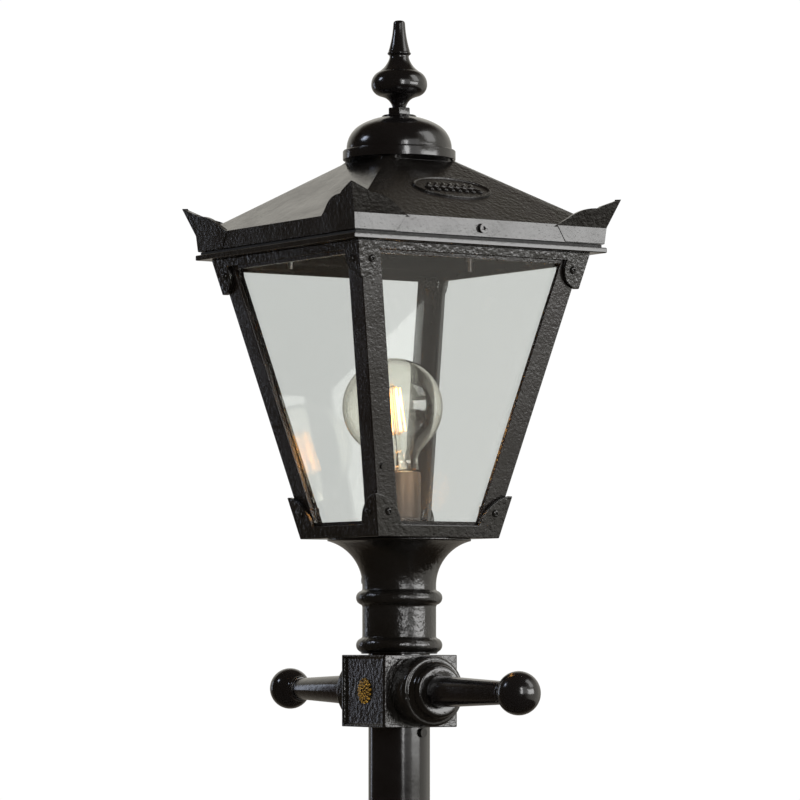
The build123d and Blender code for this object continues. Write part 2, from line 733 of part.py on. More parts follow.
base_tray.part.label = "base_tray"
export_step(base_tray.part, "parts/base_tray.step")

# Hexagon bolts from the tray into the neck.
with BuildPart() as tray_bolts:
    with BuildSketch(Plane.XY.offset(lantern + tray_floor)):
        with PolarLocations(tray_bolt_circle_r, 4, start_angle=45):
            RegularPolygon(5, 6, major_radius=False)
    extrude(amount=4)
    with Locations((0, 0, lantern + tray_floor)):
        with PolarLocations(tray_bolt_circle_r, 4, start_angle=45):
            Cylinder(m6_r, tray_floor + tray_bolt_depth - 1,
                     align=(Align.CENTER, Align.CENTER, Align.MAX))
tray_bolts.part.label = "tray_bolts"
export_step(tray_bolts.part, "parts/tray_bolts.step")

# ---- Corner bars, rails, glass and clips --------------------------------------------------------


def angle_section(height):
    """A corner bar's cut across at a height: an equal angle with eased edges."""
    corner = ring_half(height) - ring_wall
    with BuildSketch() as section:
        with Locations((corner, -corner)):
            Rectangle(bar_leg, bar_thick, align=(Align.MAX, Align.MIN))
            Rectangle(bar_thick, bar_leg, align=(Align.MAX, Align.MIN))
        fillet(section.vertices(), radius=bar_edge)
    return section.sketch


# Tapered angle bar, from the tray's floor to the top ring, with its ear-screw holes.
ear_holes = ear_seats(lower_screw_height) + ear_seats(upper_screw_height)
earth_seat = face_seat(ear_screw_inset, earth_screw_height, depth=ring_wall)
with BuildPart() as corner_bar:
    for height in (tray_floor, bar_top):
        with BuildSketch(Plane.XY.offset(lantern + height)):
            add(angle_section(height))
    loft(ruled=True)
    with Locations(ear_holes):
        Cylinder(m4_r + thread_gap, 40, mode=Mode.SUBTRACT)
for turn, name in enumerate(("front_right", "back_right", "back_left", "front_left")):
    copy = corner_bar.part.rotate(Axis.Z, 90 * turn)
    if turn == 0:
        with BuildPart() as earthed_bar:
            add(copy)
            with Locations(earth_seat):
                Cylinder(m4_r + thread_gap, 40, mode=Mode.SUBTRACT)
        copy = earthed_bar.part
    copy.label = f"corner_bar_{name}"
    export_step(copy, f"parts/corner_bar_{name}.step")

# Flat rails between the bars, outside the glass, at the sill and at the head.
bar_face = ring_wall + bar_thick
sill_rail = leaning_slab(bar_face, ring_wall, ring_wall + bar_leg + thread_gap,
                         tray_floor, tray_floor + rail_height)
head_rail = leaning_slab(bar_face, ring_wall, ring_wall + bar_leg + thread_gap,
                         bar_top - upper_rail_height, bar_top)
with BuildPart() as glazing_rails:
    for turn in (0, 90, 180, 270):
        add(sill_rail, rotation=(0, 0, turn))
        add(head_rail, rotation=(0, 0, turn))
glazing_rails.part.label = "glazing_rails"
export_step(glazing_rails.part, "parts/glazing_rails.step")

# Four panes, each lapping behind the legs of its two bars.
pane = leaning_slab(bar_face + glass_thick, bar_face, ring_wall + bar_leg - glass_lap,
                    tray_floor, bar_top - 1)
for turn, name in enumerate(("right", "back", "left", "front")):
    copy = pane.rotate(Axis.Z, 90 * turn)
    copy.label = f"glass_pane_{name}"
    export_step(copy, f"parts/glass_pane_{name}.step")

# The two ear screws of a corner stop short of each other.
ear_screw_length = ear_screw_inset - m4_r - rub_gap

# Corner clips, tapped for the ear screws: two feet on the bar's legs and a tongue over each pane.
with BuildPart() as glazing_clips:
    for height in (lower_screw_height, upper_screw_height):
        near_inset = bar_face + 1.7
        far_inset = 2 * ring_half(height) - near_inset
        for inset, side in ((near_inset, Align.MIN), (far_inset, Align.MAX)):
            for turn in (0, 90, 180, 270):
                foot = face_seat(inset, height, turn, bar_face + thread_gap)
                with BuildSketch(Plane(foot)):
                    Rectangle(clip_foot, clip_length, align=(side, Align.CENTER))
                extrude(amount=-glass_thick)
                tongue = face_seat(inset, height, turn, bar_face + glass_thick + thread_gap)
                with BuildSketch(Plane(tongue)):
                    Rectangle(clip_tongue, clip_length, align=(side, Align.CENTER))
                extrude(amount=-clip_thick)
    with Locations(ear_holes):
        Cylinder(m4_r + thread_gap, ear_screw_length,
                 align=(Align.CENTER, Align.CENTER, Align.MAX), mode=Mode.SUBTRACT)
glazing_clips.part.label = "glazing_clips"
export_step(glazing_clips.part, "parts/glazing_clips.step")

# Button-head socket screws that hold ears, bars and clips together.
with BuildPart() as ear_screws:
    with Locations(ear_holes):
        Cylinder(3.8, 2.2, align=(Align.CENTER, Align.CENTER, Align.MIN))
        Cylinder(m4_r, ear_screw_length, align=(Align.CENTER, Align.CENTER, Align.MAX))
    with Locations(ear_holes):
        with Locations((0, 0, 2.2)):
            Cylinder(1.4, 3, mode=Mode.SUBTRACT)
ear_screws.part.label = "ear_screws"
export_step(ear_screws.part, "parts/ear_screws.step")

# Earthing screw through one bar.
with BuildPart() as earth_screw:
    with Locations(earth_seat):
        Cylinder(3, 2, align=(Align.CENTER, Align.CENTER, Align.MIN))
        Cylinder(m4_r, 14, align=(Align.CENTER, Align.CENTER, Align.MAX))
earth_screw.part.label = "earth_screw"
export_step(earth_screw.part, "parts/earth_screw.step")

# ---- Top ring and drip plate --------------------------------------------------------------------

lip_half = ring_half(bar_top) - ring_wall - top_ring_lip_width
plate_screw_r = lip_half + top_ring_lip_width / 2 - 3
plate_screw_places = [(plate_screw_r, 50), (plate_screw_r, -50)]

# Cast ring that caps the bars: a low leaning wall with hanging ears and an inner lip.
head_window = ear_window(top_ring_sill, upper_ear_tip, upper_ear_reach, upper_ear_tip - 10)
with BuildPart() as top_ring:
    add(square_frustum(ring_half(upper_ear_tip), upper_ear_tip, ring_half(plate_bottom), plate_bottom, 2))
    add(
        square_frustum(ring_half(upper_ear_tip) - ring_wall, upper_ear_tip,
                       ring_half(bar_top) - ring_wall, bar_top, 1),
        mode=Mode.SUBTRACT,
    )
    with Locations((0, 0, lantern + plate_bottom)):
        Box(2 * lip_half, 2 * lip_half, 6 * top_ring_lip, mode=Mode.SUBTRACT)
    for turn in (0, 90):
        with BuildSketch(Plane(upright(lantern).location * Rotation(0, turn, 0))):
            add(head_window)
        extrude(amount=plate_size, both=True, mode=Mode.SUBTRACT)
    with Locations(ear_seats(upper_screw_height)):
        Cylinder(m4_r + thread_gap, 4 * ring_wall, mode=Mode.SUBTRACT)
    for turn in (0, 90, 180, 270):
        with Locations(Location((0, 0, lantern + plate_bottom), (0, 0, turn))):
            with Locations(plate_screw_places):
                Cylinder(m5_r + thread_gap, 4 * top_ring_lip, mode=Mode.SUBTRACT)
top_ring.part.label = "top_ring"
export_step(top_ring.part, "parts/top_ring.step")

# Flat drip plate with an upstand around its opening and two lugs for the roof's hinge.
lug_middle = roof_hinge_width / 2 - roof_lug_width / 2
with BuildPart() as drip_plate:
    with BuildSketch(Plane.XY.offset(lantern + plate_bottom)):
        RectangleRounded(plate_size, plate_size, 2)
        Rectangle(plate_opening, plate_opening, mode=Mode.SUBTRACT)
    extrude(amount=plate_thick)
    with BuildSketch(Plane.XY.offset(lantern + plate_top)):
        Rectangle(upstand_size, upstand_size)
        Rectangle(upstand_size - 2 * upstand_wall, upstand_size - 2 * upstand_wall, mode=Mode.SUBTRACT)
    extrude(amount=upstand_height)
    for side in (-1, 1):
        with BuildSketch(upright(lantern).offset(side * lug_middle)):
            with Locations((roof_hinge_x - roof_knuckle_r, plate_bottom)):
                Rectangle(2 * roof_knuckle_r, roof_hinge_height - plate_bottom, align=Align.MIN)
                Rectangle(15, plate_thick, align=Align.MIN)
            with Locations((roof_hinge_x, roof_hinge_height)):
                Circle(roof_knuckle_r)
                Circle(roof_pin_r + thread_gap, mode=Mode.SUBTRACT)
        extrude(amount=roof_lug_width / 2, both=True)
    for turn in (0, 90, 180, 270):
        with Locations(Location((0, 0, lantern + plate_bottom), (0, 0, turn))):
            with Locations(plate_screw_places):
                Cylinder(m5_r + thread_gap, 4 * plate_thick, mode=Mode.SUBTRACT)
drip_plate.part.label = "drip_plate"
export_step(drip_plate.part, "parts/drip_plate.step")

with BuildPart() as plate_screws:
    for turn in (0, 90, 180, 270):
        with Locations(Location((0, 0, lantern + plate_top), (0, 0, turn))):
            with Locations(plate_screw_places):
                Cylinder(4.2, 2.6, align=(Align.CENTER, Align.CENTER, Align.MIN))
                Cylinder(m5_r, plate_thick + top_ring_lip, align=(Align.CENTER, Align.CENTER, Align.MAX))
plate_screws.part.label = "plate_screws"
export_step(plate_screws.part, "parts/plate_screws.step")

# Rubber strip under the apron.
with BuildPart() as roof_gasket:
    with BuildSketch(Plane.XY.offset(lantern + plate_top)):
        Rectangle(2 * apron_half - 3, 2 * apron_half - 3)
        Rectangle(2 * apron_half - 11, 2 * apron_half - 11, mode=Mode.SUBTRACT)
    extrude(amount=apron_gap - rub_gap)
roof_gasket.part.label = "roof_gasket"
export_step(roof_gasket.part, "parts/roof_gasket.step")

with BuildPart() as roof_hinge_pin:
    with Locations(Location((roof_hinge_x, 0, lantern + roof_hinge_height), (90, 0, 0))):
        Cylinder(roof_pin_r, roof_hinge_width + 2)
        with Locations((0, 0, roof_hinge_width / 2), (0, 0, -roof_hinge_width / 2 - 2)):
            Cylinder(3.4, 2, align=(Align.CENTER, Align.CENTER, Align.MIN))
roof_hinge_pin.part.label = "roof_hinge_pin"
export_step(roof_hinge_pin.part, "parts/roof_hinge_pin.step")

# ---- Roof ---------------------------------------------------------------------------------------


def horn_gap():
    """What is cut from the horns' ring on each side, leaving a horn with a notched top at both ends."""
    tip = eaves + horn_height
    with BuildSketch() as gap:
        with BuildLine():
            ThreePointArc((horn_tip_half, tip), (horn_tip_half - 9, tip - 3.6),
                          (horn_tip_half - 18.5, tip - 7.6))
            ThreePointArc((horn_tip_half - 18.5, tip - 7.6), (horn_tip_half - 21, tip - 9),
                          (horn_tip_half - 24.5, tip - 9.5))
            ThreePointArc((horn_tip_half - 24.5, tip - 9.5), (horn_tip_half - 37, tip - 11),
                          (horn_tip_half - 47.5, tip - 17))
            Polyline((horn_tip_half - 47.5, tip - 17), (horn_tip_half - 65, eaves - 2), (0, eaves - 2),
                     (0, tip + 5), (horn_tip_half, tip + 5), (horn_tip_half, tip))
        make_face()
        mirror(about=Plane.YZ)
    return gap.sketch


# The four horns: a thin flared ring above the eaves with the middle of each side cut away.
with BuildPart() as horns:
    add(square_frustum(eaves_half - 0.8, eaves - 2, horn_tip_half, eaves + horn_height, 0.5))
    add(
        square_frustum(eaves_half - 0.8 - horn_wall, eaves - 2,
                       horn_tip_half - horn_wall, eaves + horn_height, 0.5),
        mode=Mode.SUBTRACT,
    )
    for turn in (0, 90):
        with BuildSketch(Plane(upright(lantern).location * Rotation(0, turn, 0))):
            add(horn_gap())
        extrude(amount=plate_size, both=True, mode=Mode.SUBTRACT)

slope_out = eaves_half - badge_rise / sqrt(1 + tan(radians(roof_pitch)) ** 2)
slope_up = eaves + badge_rise * sin(radians(roof_pitch))
badge_plane = Plane((slope_out, 0, lantern + slope_up), x_dir=(0, 1, 0),
                    z_dir=(tan(radians(roof_pitch)), 0, 1))
hip_reach = sqrt(2) * roof_half(hip_rounding_height)
cone_run = (hip_reach - crown_r) / (crown_height - hip_rounding_height)
inner_eaves_half = eaves_half - apron_wall - 1
inner_drop = roof_thick * 1.2 - (apron_wall + 1) / pitch_run

# Cast roof: apron, four slopes whose hips round off into the crown, vent collar, horns and badge.
with BuildPart() as roof_casting:
    add(square_frustum(eaves_half, eaves, roof_half(crown_height), crown_height, 2))
    with Locations((0, 0, lantern + crown_height)):
        Cone(crown_r + 100 * cone_run, crown_r, 100,
             align=(Align.CENTER, Align.CENTER, Align.MAX), mode=Mode.INTERSECT)
        Cone(crown_r + 7, crown_r, 15, align=(Align.CENTER, Align.CENTER, Align.MAX))
        Cylinder(vent_r, vent_height, align=(Align.CENTER, Align.CENTER, Align.MIN))
    add(square_frustum(apron_half, apron_bottom, eaves_half, eaves, 2))
    add(
        square_frustum(apron_half - apron_wall, apron_bottom, inner_eaves_half, eaves - inner_drop, 1),
        mode=Mode.SUBTRACT,
    )
    inner_top = crown_height - roof_thick
    inner_top_half = inner_eaves_half - (inner_top - eaves + inner_drop) * pitch_run
    add(
        square_frustum(inner_eaves_half, eaves - inner_drop, inner_top_half, inner_top, 1),
        mode=Mode.SUBTRACT,
    )
    with Locations((0, 0, lantern + crown_height)):
        Cylinder(vent_r - vent_wall, 60, mode=Mode.SUBTRACT)
    add(horns.part)
    with BuildSketch(badge_plane):
        Ellipse(badge_length / 2, badge_width / 2)
    extrude(amount=-2)
    with BuildSketch(badge_plane):
        Ellipse(badge_length / 2, badge_width / 2)
    extrude(amount=badge_proud)
    with BuildSketch(badge_plane.offset(badge_proud)):
        Ellipse(badge_length / 2 - 3.5, badge_width / 2 - 3.5)
    extrude(amount=-badge_proud / 2, mode=Mode.SUBTRACT)
    # hinge knuckle on the -X apron and hole for the lock screw in the +X apron
    with BuildSketch(upright(lantern)):
        with Locations((roof_hinge_x, roof_hinge_height)):
            Circle(roof_knuckle_r)
            Rectangle(8, 4.5, align=(Align.MIN, Align.MAX))
            Circle(roof_pin_r + running_gap, mode=Mode.SUBTRACT)
    extrude(amount=roof_hinge_width / 2 - roof_lug_width - rub_gap, both=True)
    with Locations(Location((apron_half, 0, lantern + lock_screw_height), (0, 90, 0))):
        Cylinder(lock_screw_r + running_gap, 4 * apron_wall, mode=Mode.SUBTRACT)
roof_casting.part.label = "roof_casting"
export_step(roof_casting.part, "parts/roof_casting.step")

# Lock screw: its tip stops just short of the plate's upstand.
lock_screw_seat = apron_half + (lock_screw_height - apron_bottom) * (eaves_half - apron_half) / apron_height
with BuildPart() as roof_lock_screw:
    with Locations(Location((lock_screw_seat + rub_gap, 0, lantern + lock_screw_height), (0, 90, 0))):
        Cylinder(4.5, 3, align=(Align.CENTER, Align.CENTER, Align.MIN))
        Cylinder(lock_screw_r, lock_screw_seat - upstand_size / 2,
                 align=(Align.CENTER, Align.CENTER, Align.MAX))
    screw_face = Plane((lock_screw_seat + rub_gap + 3, 0, lantern + lock_screw_height), x_dir=(0, 1, 0),
                       z_dir=(1, 0, 0))
    with BuildSketch(screw_face):
        RegularPolygon(1.6, 6, major_radius=False)
    extrude(amount=-1.8, mode=Mode.SUBTRACT)
roof_lock_screw.part.label = "roof_lock_screw"
export_step(roof_lock_screw.part, "parts/roof_lock_screw.step")

# ---- Dome, its rod and nuts, finial -------------------------------------------------------------

bridge_bottom = crown_height + vent_height
bridge_thick = 3.0
finial_hole_depth = 30.0
rod_foot = bridge_bottom - 10

# Flat bar across the vent collar that carries the centre rod.
with BuildPart() as dome_bridge:
    with BuildSketch(Plane.XY.offset(lantern + bridge_bottom)):
        SlotOverall(2 * vent_r - 4, 16)
        Circle(rod_r + thread_gap, mode=Mode.SUBTRACT)
    extrude(amount=bridge_thick)
dome_bridge.part.label = "dome_bridge"
export_step(dome_bridge.part, "parts/dome_bridge.step")

with BuildPart() as centre_rod:
    with Locations((0, 0, lantern + rod_foot)):
        Cylinder(rod_r, finial_bottom + finial_hole_depth - 2 - rod_foot,
                 align=(Align.CENTER, Align.CENTER, Align.MIN))
centre_rod.part.label = "centre_rod"
export_step(centre_rod.part, "parts/centre_rod.step")

with BuildPart() as rod_nuts:
    with BuildSketch(Plane.XY.offset(lantern + bridge_bottom - 8), Plane.XY.offset(
            lantern + bridge_bottom + bridge_thick)):
        RegularPolygon(8.5, 6, major_radius=False)
        Circle(rod_r + thread_gap, mode=Mode.SUBTRACT)
    extrude(amount=8)
rod_nuts.part.label = "rod_nuts"
export_step(rod_nuts.part, "parts/rod_nuts.step")

# Spun dome: a square-edged rim, a tight shoulder and a flatter crown.
shoulder_x = dome_base_r - dome_shoulder_r
shoulder_z = dome_rim_height + 2
join_x = shoulder_x + dome_shoulder_r / 2  # the shoulder's arc ends 60 degrees up
join_z = shoulder_z + dome_shoulder_r * sin(radians(60))
crown_x = join_x - dome_crown_r / 2
crown_z = join_z - dome_crown_r * sin(radians(60))


def dome_arcs(inset):
    """The dome's shoulder and crown arcs from the rim up, moved in by `inset`."""
    shoulder = dome_shoulder_r - inset
    crown = dome_crown_r - inset
    top = crown_z + sqrt(crown**2 - (dome_top_r - crown_x) ** 2)
    half_x = (join_x - inset / 2 + dome_top_r) / 2
    half_z = crown_z + sqrt(crown**2 - (half_x - crown_x) ** 2)
    low = (shoulder_x + shoulder, shoulder_z)
    join = (join_x - inset / 2, join_z - inset * sin(radians(60)))
    ThreePointArc(low, (shoulder_x + shoulder * sqrt(3) / 2, shoulder_z + shoulder / 2), join)
    ThreePointArc(join, (half_x, half_z), (dome_top_r, top))
    return low, top


with BuildPart() as dome:
    with BuildSketch(upright(lantern + crown_height)):
        with BuildLine():
            outer_low, outer_top = dome_arcs(0)
            inner_low, inner_top_z = dome_arcs(dome_thick)
            Polyline((dome_top_r, outer_top), (rod_r + thread_gap, outer_top),
                     (rod_r + thread_gap, inner_top_z), (dome_top_r, inner_top_z))
            Polyline(inner_low, (inner_low[0], 0), (dome_rim_r, 0), (dome_rim_r, dome_rim_height - 1),
                     (dome_rim_r - 1, dome_rim_height), (outer_low[0], dome_rim_height), outer_low)
        make_face()
    revolve(axis=Axis.Z)
dome.part.label = "dome"
export_step(dome.part, "parts/dome.step")

with BuildPart() as dome_washer:
    with BuildSketch(Plane.XY.offset(lantern + crown_height + outer_top)):
        Circle(dome_top_r)
        Circle(rod_r + thread_gap, mode=Mode.SUBTRACT)
    extrude(amount=washer_thick)
dome_washer.part.label = "dome_washer"
export_step(dome_washer.part, "parts/dome_washer.step")

with BuildPart() as lock_nut:
    with BuildSketch(Plane.XY.offset(lantern + nut_bottom)):
        RegularPolygon(nut_across / 2, 6, major_radius=False)
    extrude(amount=nut_thick)
    with Locations((0, 0, lantern + nut_bottom)):
        Cone(nut_across / 2 + 10, nut_across / 2, nut_thick,
             align=(Align.CENTER, Align.CENTER, Align.MIN), mode=Mode.INTERSECT)
        Cylinder(rod_r + thread_gap, 3 * nut_thick, mode=Mode.SUBTRACT)
lock_nut.part.label = "lock_nut"
export_step(lock_nut.part, "parts/lock_nut.step")

# Turned finial: a fat onion on a short stem, a thin ring and a tapering tip.
with BuildPart() as finial:
    with BuildSketch(upright(lantern + finial_bottom)):
        with BuildLine():
            Line((0, 0), (6.6, 0))
            ThreePointArc((6.6, 0), (9.6, 6.4), (17.5, 11.6))
            ThreePointArc((17.5, 11.6), (25.2, 16.2), (finial_r, 23.4))
            ThreePointArc((finial_r, 23.4), (25.3, 30.4), (18.7, 36))
            ThreePointArc((18.7, 36), (12.4, 42.6), (9.35, 49.7))
            Polyline((9.35, 49.7), (9.6, 52), (11.2, 52.6), (11.2, 54), (10.4, 55.5))
            ThreePointArc((10.4, 55.5), (7.1, 69.2), (5.65, 82.8))
            tip = CenterArc((0, finial_height - finial_tip_r), finial_tip_r, 0, 90)
            Line((5.65, 82.8), tip @ 0)
            Line((0, finial_height), (0, 0))
        make_face()
    revolve(axis=Axis.Z)
    with Locations((0, 0, lantern + finial_bottom)):
        Cylinder(rod_r + thread_gap, finial_hole_depth, align=(Align.CENTER, Align.CENTER, Align.MIN),
                 mode=Mode.SUBTRACT)
finial.part.label = "finial"
export_step(finial.part, "parts/finial.step")

# ---- Lampholder and bulb ------------------------------------------------------------------------

holder_screw_r = holder_r + 3.5

# Stand: a flanged tube on the tray's floor.
with BuildPart() as holder_stand:
    with BuildSketch(Plane.XY.offset(lantern + tray_floor)):
        Circle(holder_r + 9)
        with PolarLocations(holder_screw_r + 1, 2):
            Circle(m4_r + thread_gap, mode=Mode.SUBTRACT)
    extrude(amount=2.5)
    with BuildSketch(Plane.XY.offset(lantern + tray_floor)):
        Circle(holder_r - 5)
    extrude(amount=holder_foot - tray_floor)
    with Locations((0, 0, lantern)):
        Cylinder(holder_r - 8, 80, mode=Mode.SUBTRACT)
holder_stand.part.label = "holder_stand"
export_step(holder_stand.part, "parts/holder_stand.step")

cap_bottom = holder_top + thread_gap + 0.7 - cap_length
with BuildPart() as lampholder:
    with Locations((0, 0, lantern + holder_foot)):
        Cylinder(holder_r, holder_top - holder_foot, align=(Align.CENTER, Align.CENTER, Align.MIN))
    fillet(lampholder.edges().filter_by(GeomType.CIRCLE).sort_by(Axis.Z)[-1], radius=1.2)
    with BuildSketch(Plane.XY.offset(lantern + holder_top)):
        Circle(cap_r + cap_gap)
    extrude(amount=-(holder_top - cap_bottom + 2), mode=Mode.SUBTRACT)
lampholder.part.label = "lampholder"
export_step(lampholder.part, "parts/lampholder.step")

# Screw cap: a threaded shell with a solder tip below.
with BuildPart() as bulb_cap:
    with Locations((0, 0, lantern + cap_bottom)):
        Cylinder(cap_r, cap_length, align=(Align.CENTER, Align.CENTER, Align.MIN))
        Cone(4, cap_r - 1, 1.2, align=(Align.CENTER, Align.CENTER, Align.MAX))
bulb_cap.part.label = "bulb_cap"
export_step(bulb_cap.part, "parts/bulb_cap.step")

# Blown globe: neck, cone and sphere, open only where it is sealed to the cap.
globe_foot = cap_bottom + cap_length
neck_join = globe_r * sin(radians(45))
neck_end = globe_middle - neck_join - (neck_join - bulb_neck_r)


def globe_outline(inset):
    """The globe's outline moved in by `inset`: neck, cone and sphere."""
    sphere = globe_r - inset
    join = sphere * sin(radians(45))
    neck = bulb_neck_r - inset
    top = globe_middle + sphere
    corner = globe_middle - join - (join - neck)
    Line((neck, globe_foot + inset), (neck, corner - 3))
    ThreePointArc((neck, corner - 3), (neck + 0.7, corner - 0.2), (neck + 2.6, corner + 2.6))
    Line((neck + 2.6, corner + 2.6), (join, globe_middle - join))
    ThreePointArc((join, globe_middle - join), (sphere, globe_middle), (0, top))
    return neck, top


with BuildPart() as bulb_glass:
    with BuildSketch(upright(lantern)):
        with BuildLine():
            outer_neck, outer_pole = globe_outline(0)
            inner_neck, inner_pole = globe_outline(bulb_wall)
            Line((0, outer_pole), (0, inner_pole))
            Polyline((inner_neck, globe_foot + bulb_wall), (8, globe_foot + bulb_wall), (8, globe_foot),
                     (outer_neck, globe_foot))
        make_face()
    revolve(axis=Axis.Z)
bulb_glass.part.label = "bulb_glass"
export_step(bulb_glass.part, "parts/bulb_glass.step")

# Glass stem that rises from the cap and carries the filaments.
with BuildPart() as bulb_stem:
    with BuildSketch(upright(lantern)):
        with BuildLine():
            Polyline((0, globe_foot), (7.6, globe_foot), (4.5, globe_foot + 12), (3, filament_foot - 8),
                     (4, filament_foot - 2), (0, filament_foot - 2), close=True)
        make_face()
    revolve(axis=Axis.Z)
    with Locations((0, 0, lantern + filament_foot - 2)):
        Cylinder(1, filament_length + 4, align=(Align.CENTER, Align.CENTER, Align.MIN))
bulb_stem.part.label = "bulb_stem"
export_step(bulb_stem.part, "parts/bulb_stem.step")

with BuildPart() as bulb_filaments:
    with Locations((0, 0, lantern + filament_foot)):
        with PolarLocations(filament_cage_r, filament_count):
            Cylinder(0.9, filament_length, align=(Align.CENTER, Align.CENTER, Align.MIN))
bulb_filaments.part.label = "bulb_filaments"
export_step(bulb_filaments.part, "parts/bulb_filaments.step")
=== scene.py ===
from math import atan2, cos, exp, log, pi, radians, sin, sqrt, tan

import bmesh
import bpy
from mathutils import Matrix, Vector


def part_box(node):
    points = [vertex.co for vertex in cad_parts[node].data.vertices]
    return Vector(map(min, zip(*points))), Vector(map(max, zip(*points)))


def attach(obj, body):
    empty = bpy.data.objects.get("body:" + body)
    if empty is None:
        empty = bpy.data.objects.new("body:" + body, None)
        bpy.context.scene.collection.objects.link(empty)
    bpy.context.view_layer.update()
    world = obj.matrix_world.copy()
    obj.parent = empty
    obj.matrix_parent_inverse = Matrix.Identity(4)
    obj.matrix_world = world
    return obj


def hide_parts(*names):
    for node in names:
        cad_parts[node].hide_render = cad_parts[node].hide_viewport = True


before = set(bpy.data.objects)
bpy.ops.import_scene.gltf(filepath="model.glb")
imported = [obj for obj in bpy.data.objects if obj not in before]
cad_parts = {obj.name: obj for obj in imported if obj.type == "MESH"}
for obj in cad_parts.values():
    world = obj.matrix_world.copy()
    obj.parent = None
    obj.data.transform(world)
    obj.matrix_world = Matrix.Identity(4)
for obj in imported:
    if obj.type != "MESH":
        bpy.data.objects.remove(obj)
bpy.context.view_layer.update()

MM = 0.001
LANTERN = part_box("base_tray")[0].z  # underside of the lantern, from which its heights are given

# ---- Post -------------------------------------------------------------------------------------
# A steel tube, 60 mm across, that carries everything. It is powder coated gloss black, a smooth
# and slightly rippled skin. Its lower end stands in the foot and its upper end is inside the neck.


def linear(hex_colour):
    """An sRGB hex colour as the linear colour that a shader takes."""
    channels = [int(hex_colour[i:i + 2], 16) / 255 for i in (1, 3, 5)]
    return [c / 12.92 if c <= 0.04045 else ((c + 0.055) / 1.055) ** 2.4 for c in channels] + [1.0]


def add_node(tree, kind, inputs=None, **settings):
    """Adds a node to a material, sets its settings, and sets or links its inputs."""
    node = tree.nodes.new(kind)
    for name, value in settings.items():
        setattr(node, name, value)
    for key, value in (inputs or {}).items():
        if isinstance(value, bpy.types.NodeSocket):
            tree.links.new(value, node.inputs[key])
        else:
            node.inputs[key].default_value = value
    return node


def blank_material(name):
    """A named material with its tree, the object's own coordinates and its output, and no shader yet."""
    material = bpy.data.materials.new(name)
    material.use_nodes = True
    tree = material.node_tree
    tree.nodes.clear()
    place = add_node(tree, "ShaderNodeTexCoord").outputs["Object"]
    output = add_node(tree, "ShaderNodeOutputMaterial")
    return material, tree, place, output


def black_paint(name, skin, roughness, lump, lump_depth, grain, grain_depth):
    """Gloss black paint. `lump` and `grain` are the sizes in mm of the waves and of the fine grain in
    its skin, with their depths in mm. Dust and thin spots make the gloss a little uneven."""
    material, tree, place, output = blank_material(name)
    waves = add_node(tree, "ShaderNodeTexNoise", {"Vector": place, "Scale": 1 / (lump * MM), "Detail": 2.0,
                                                  "Roughness": 0.45})
    grains = add_node(tree, "ShaderNodeTexNoise", {"Vector": place, "Scale": 1 / (grain * MM), "Detail": 1.0})
    wavy = add_node(tree, "ShaderNodeBump", {"Height": waves.outputs["Fac"], "Distance": lump_depth * MM,
                                             "Strength": 1.0})
    grainy = add_node(tree, "ShaderNodeBump", {"Height": grains.outputs["Fac"], "Strength": 1.0,
                                               "Normal": wavy.outputs["Normal"],
                                               "Distance": grain_depth * MM})
    dust = add_node(tree, "ShaderNodeTexNoise", {"Vector": place, "Scale": 1 / (35 * MM), "Detail": 5.0,
                                                 "Roughness": 0.6})
    sheen = add_node(tree, "ShaderNodeMapRange", {"Value": dust.outputs["Fac"], "From Min": 0.3,
                                                  "From Max": 0.75, "To Min": roughness * 0.8,
                                                  "To Max": roughness * 1.5})
    tone = add_node(tree, "ShaderNodeValToRGB", {"Fac": dust.outputs["Fac"]})
    tone.color_ramp.elements[0].color = linear(skin)
    tone.color_ramp.elements[1].color = [2.2 * c + 0.001 for c in linear(skin)[:3]] + [1.0]
    shader = add_node(tree, "ShaderNodeBsdfPrincipled", {"Base Color": tone.outputs["Color"],
                                                         "Roughness": sheen.outputs["Result"],
                                                         "IOR": 1.5, "Normal": grainy.outputs["Normal"]})
    tree.links.new(shader.outputs["BSDF"], output.inputs["Surface"])
    return material


# Powder coat on drawn steel tube: smooth to the eye, with the faint waves of a melted coating.
powder_coat = black_paint("gloss_powder_coat_on_steel", "#060505", 0.13, 9.0, 0.07, 2.2, 0.012)


def through(a, b, c, steps=10):
    """Points of the round stretch that starts at a, passes b and ends at c."""
    (ax, ay), (bx, by), (cx, cy) = a, b, c
    d = 2 * (ax * (by - cy) + bx * (cy - ay) + cx * (ay - by))
    ux = ((ax**2 + ay**2) * (by - cy) + (bx**2 + by**2) * (cy - ay) + (cx**2 + cy**2) * (ay - by)) / d
    uy = ((ax**2 + ay**2) * (cx - bx) + (bx**2 + by**2) * (ax - cx) + (cx**2 + cy**2) * (bx - ax)) / d
    start, mid, end = (atan2(y - uy, x - ux) for x, y in (a, b, c))
    turn = (end - start) % (2 * pi)
    if (mid - start) % (2 * pi) > turn:
        turn -= 2 * pi
    radius = sqrt((ax - ux) ** 2 + (ay - uy) ** 2)
    return [(ux + radius * cos(start + turn * i / steps), uy + radius * sin(start + turn * i / steps))
            for i in range(steps + 1)]


def turned(outline, steps=96):
    """A round piece from an outline of (radius, height) in mm, closed unless it ends on the axis."""
    bm = bmesh.new()
    verts = [bm.verts.new((r * MM, 0, h * MM)) for r, h in outline]
    closed = outline[0][0] > 1e-6 or outline[-1][0] > 1e-6
    pairs = list(zip(verts, verts[1:] + verts[:1])) if closed else list(zip(verts, verts[1:]))
    edges = [bm.edges.new(pair) for pair in pairs]
    bmesh.ops.spin(bm, geom=verts + edges, axis=(0, 0, 1), cent=(0, 0, 0), angle=2 * pi, steps=steps,
                   use_merge=True)
    bmesh.ops.remove_doubles(bm, verts=bm.verts, dist=1e-6)
    bmesh.ops.recalc_face_normals(bm, faces=bm.faces)
    return bm


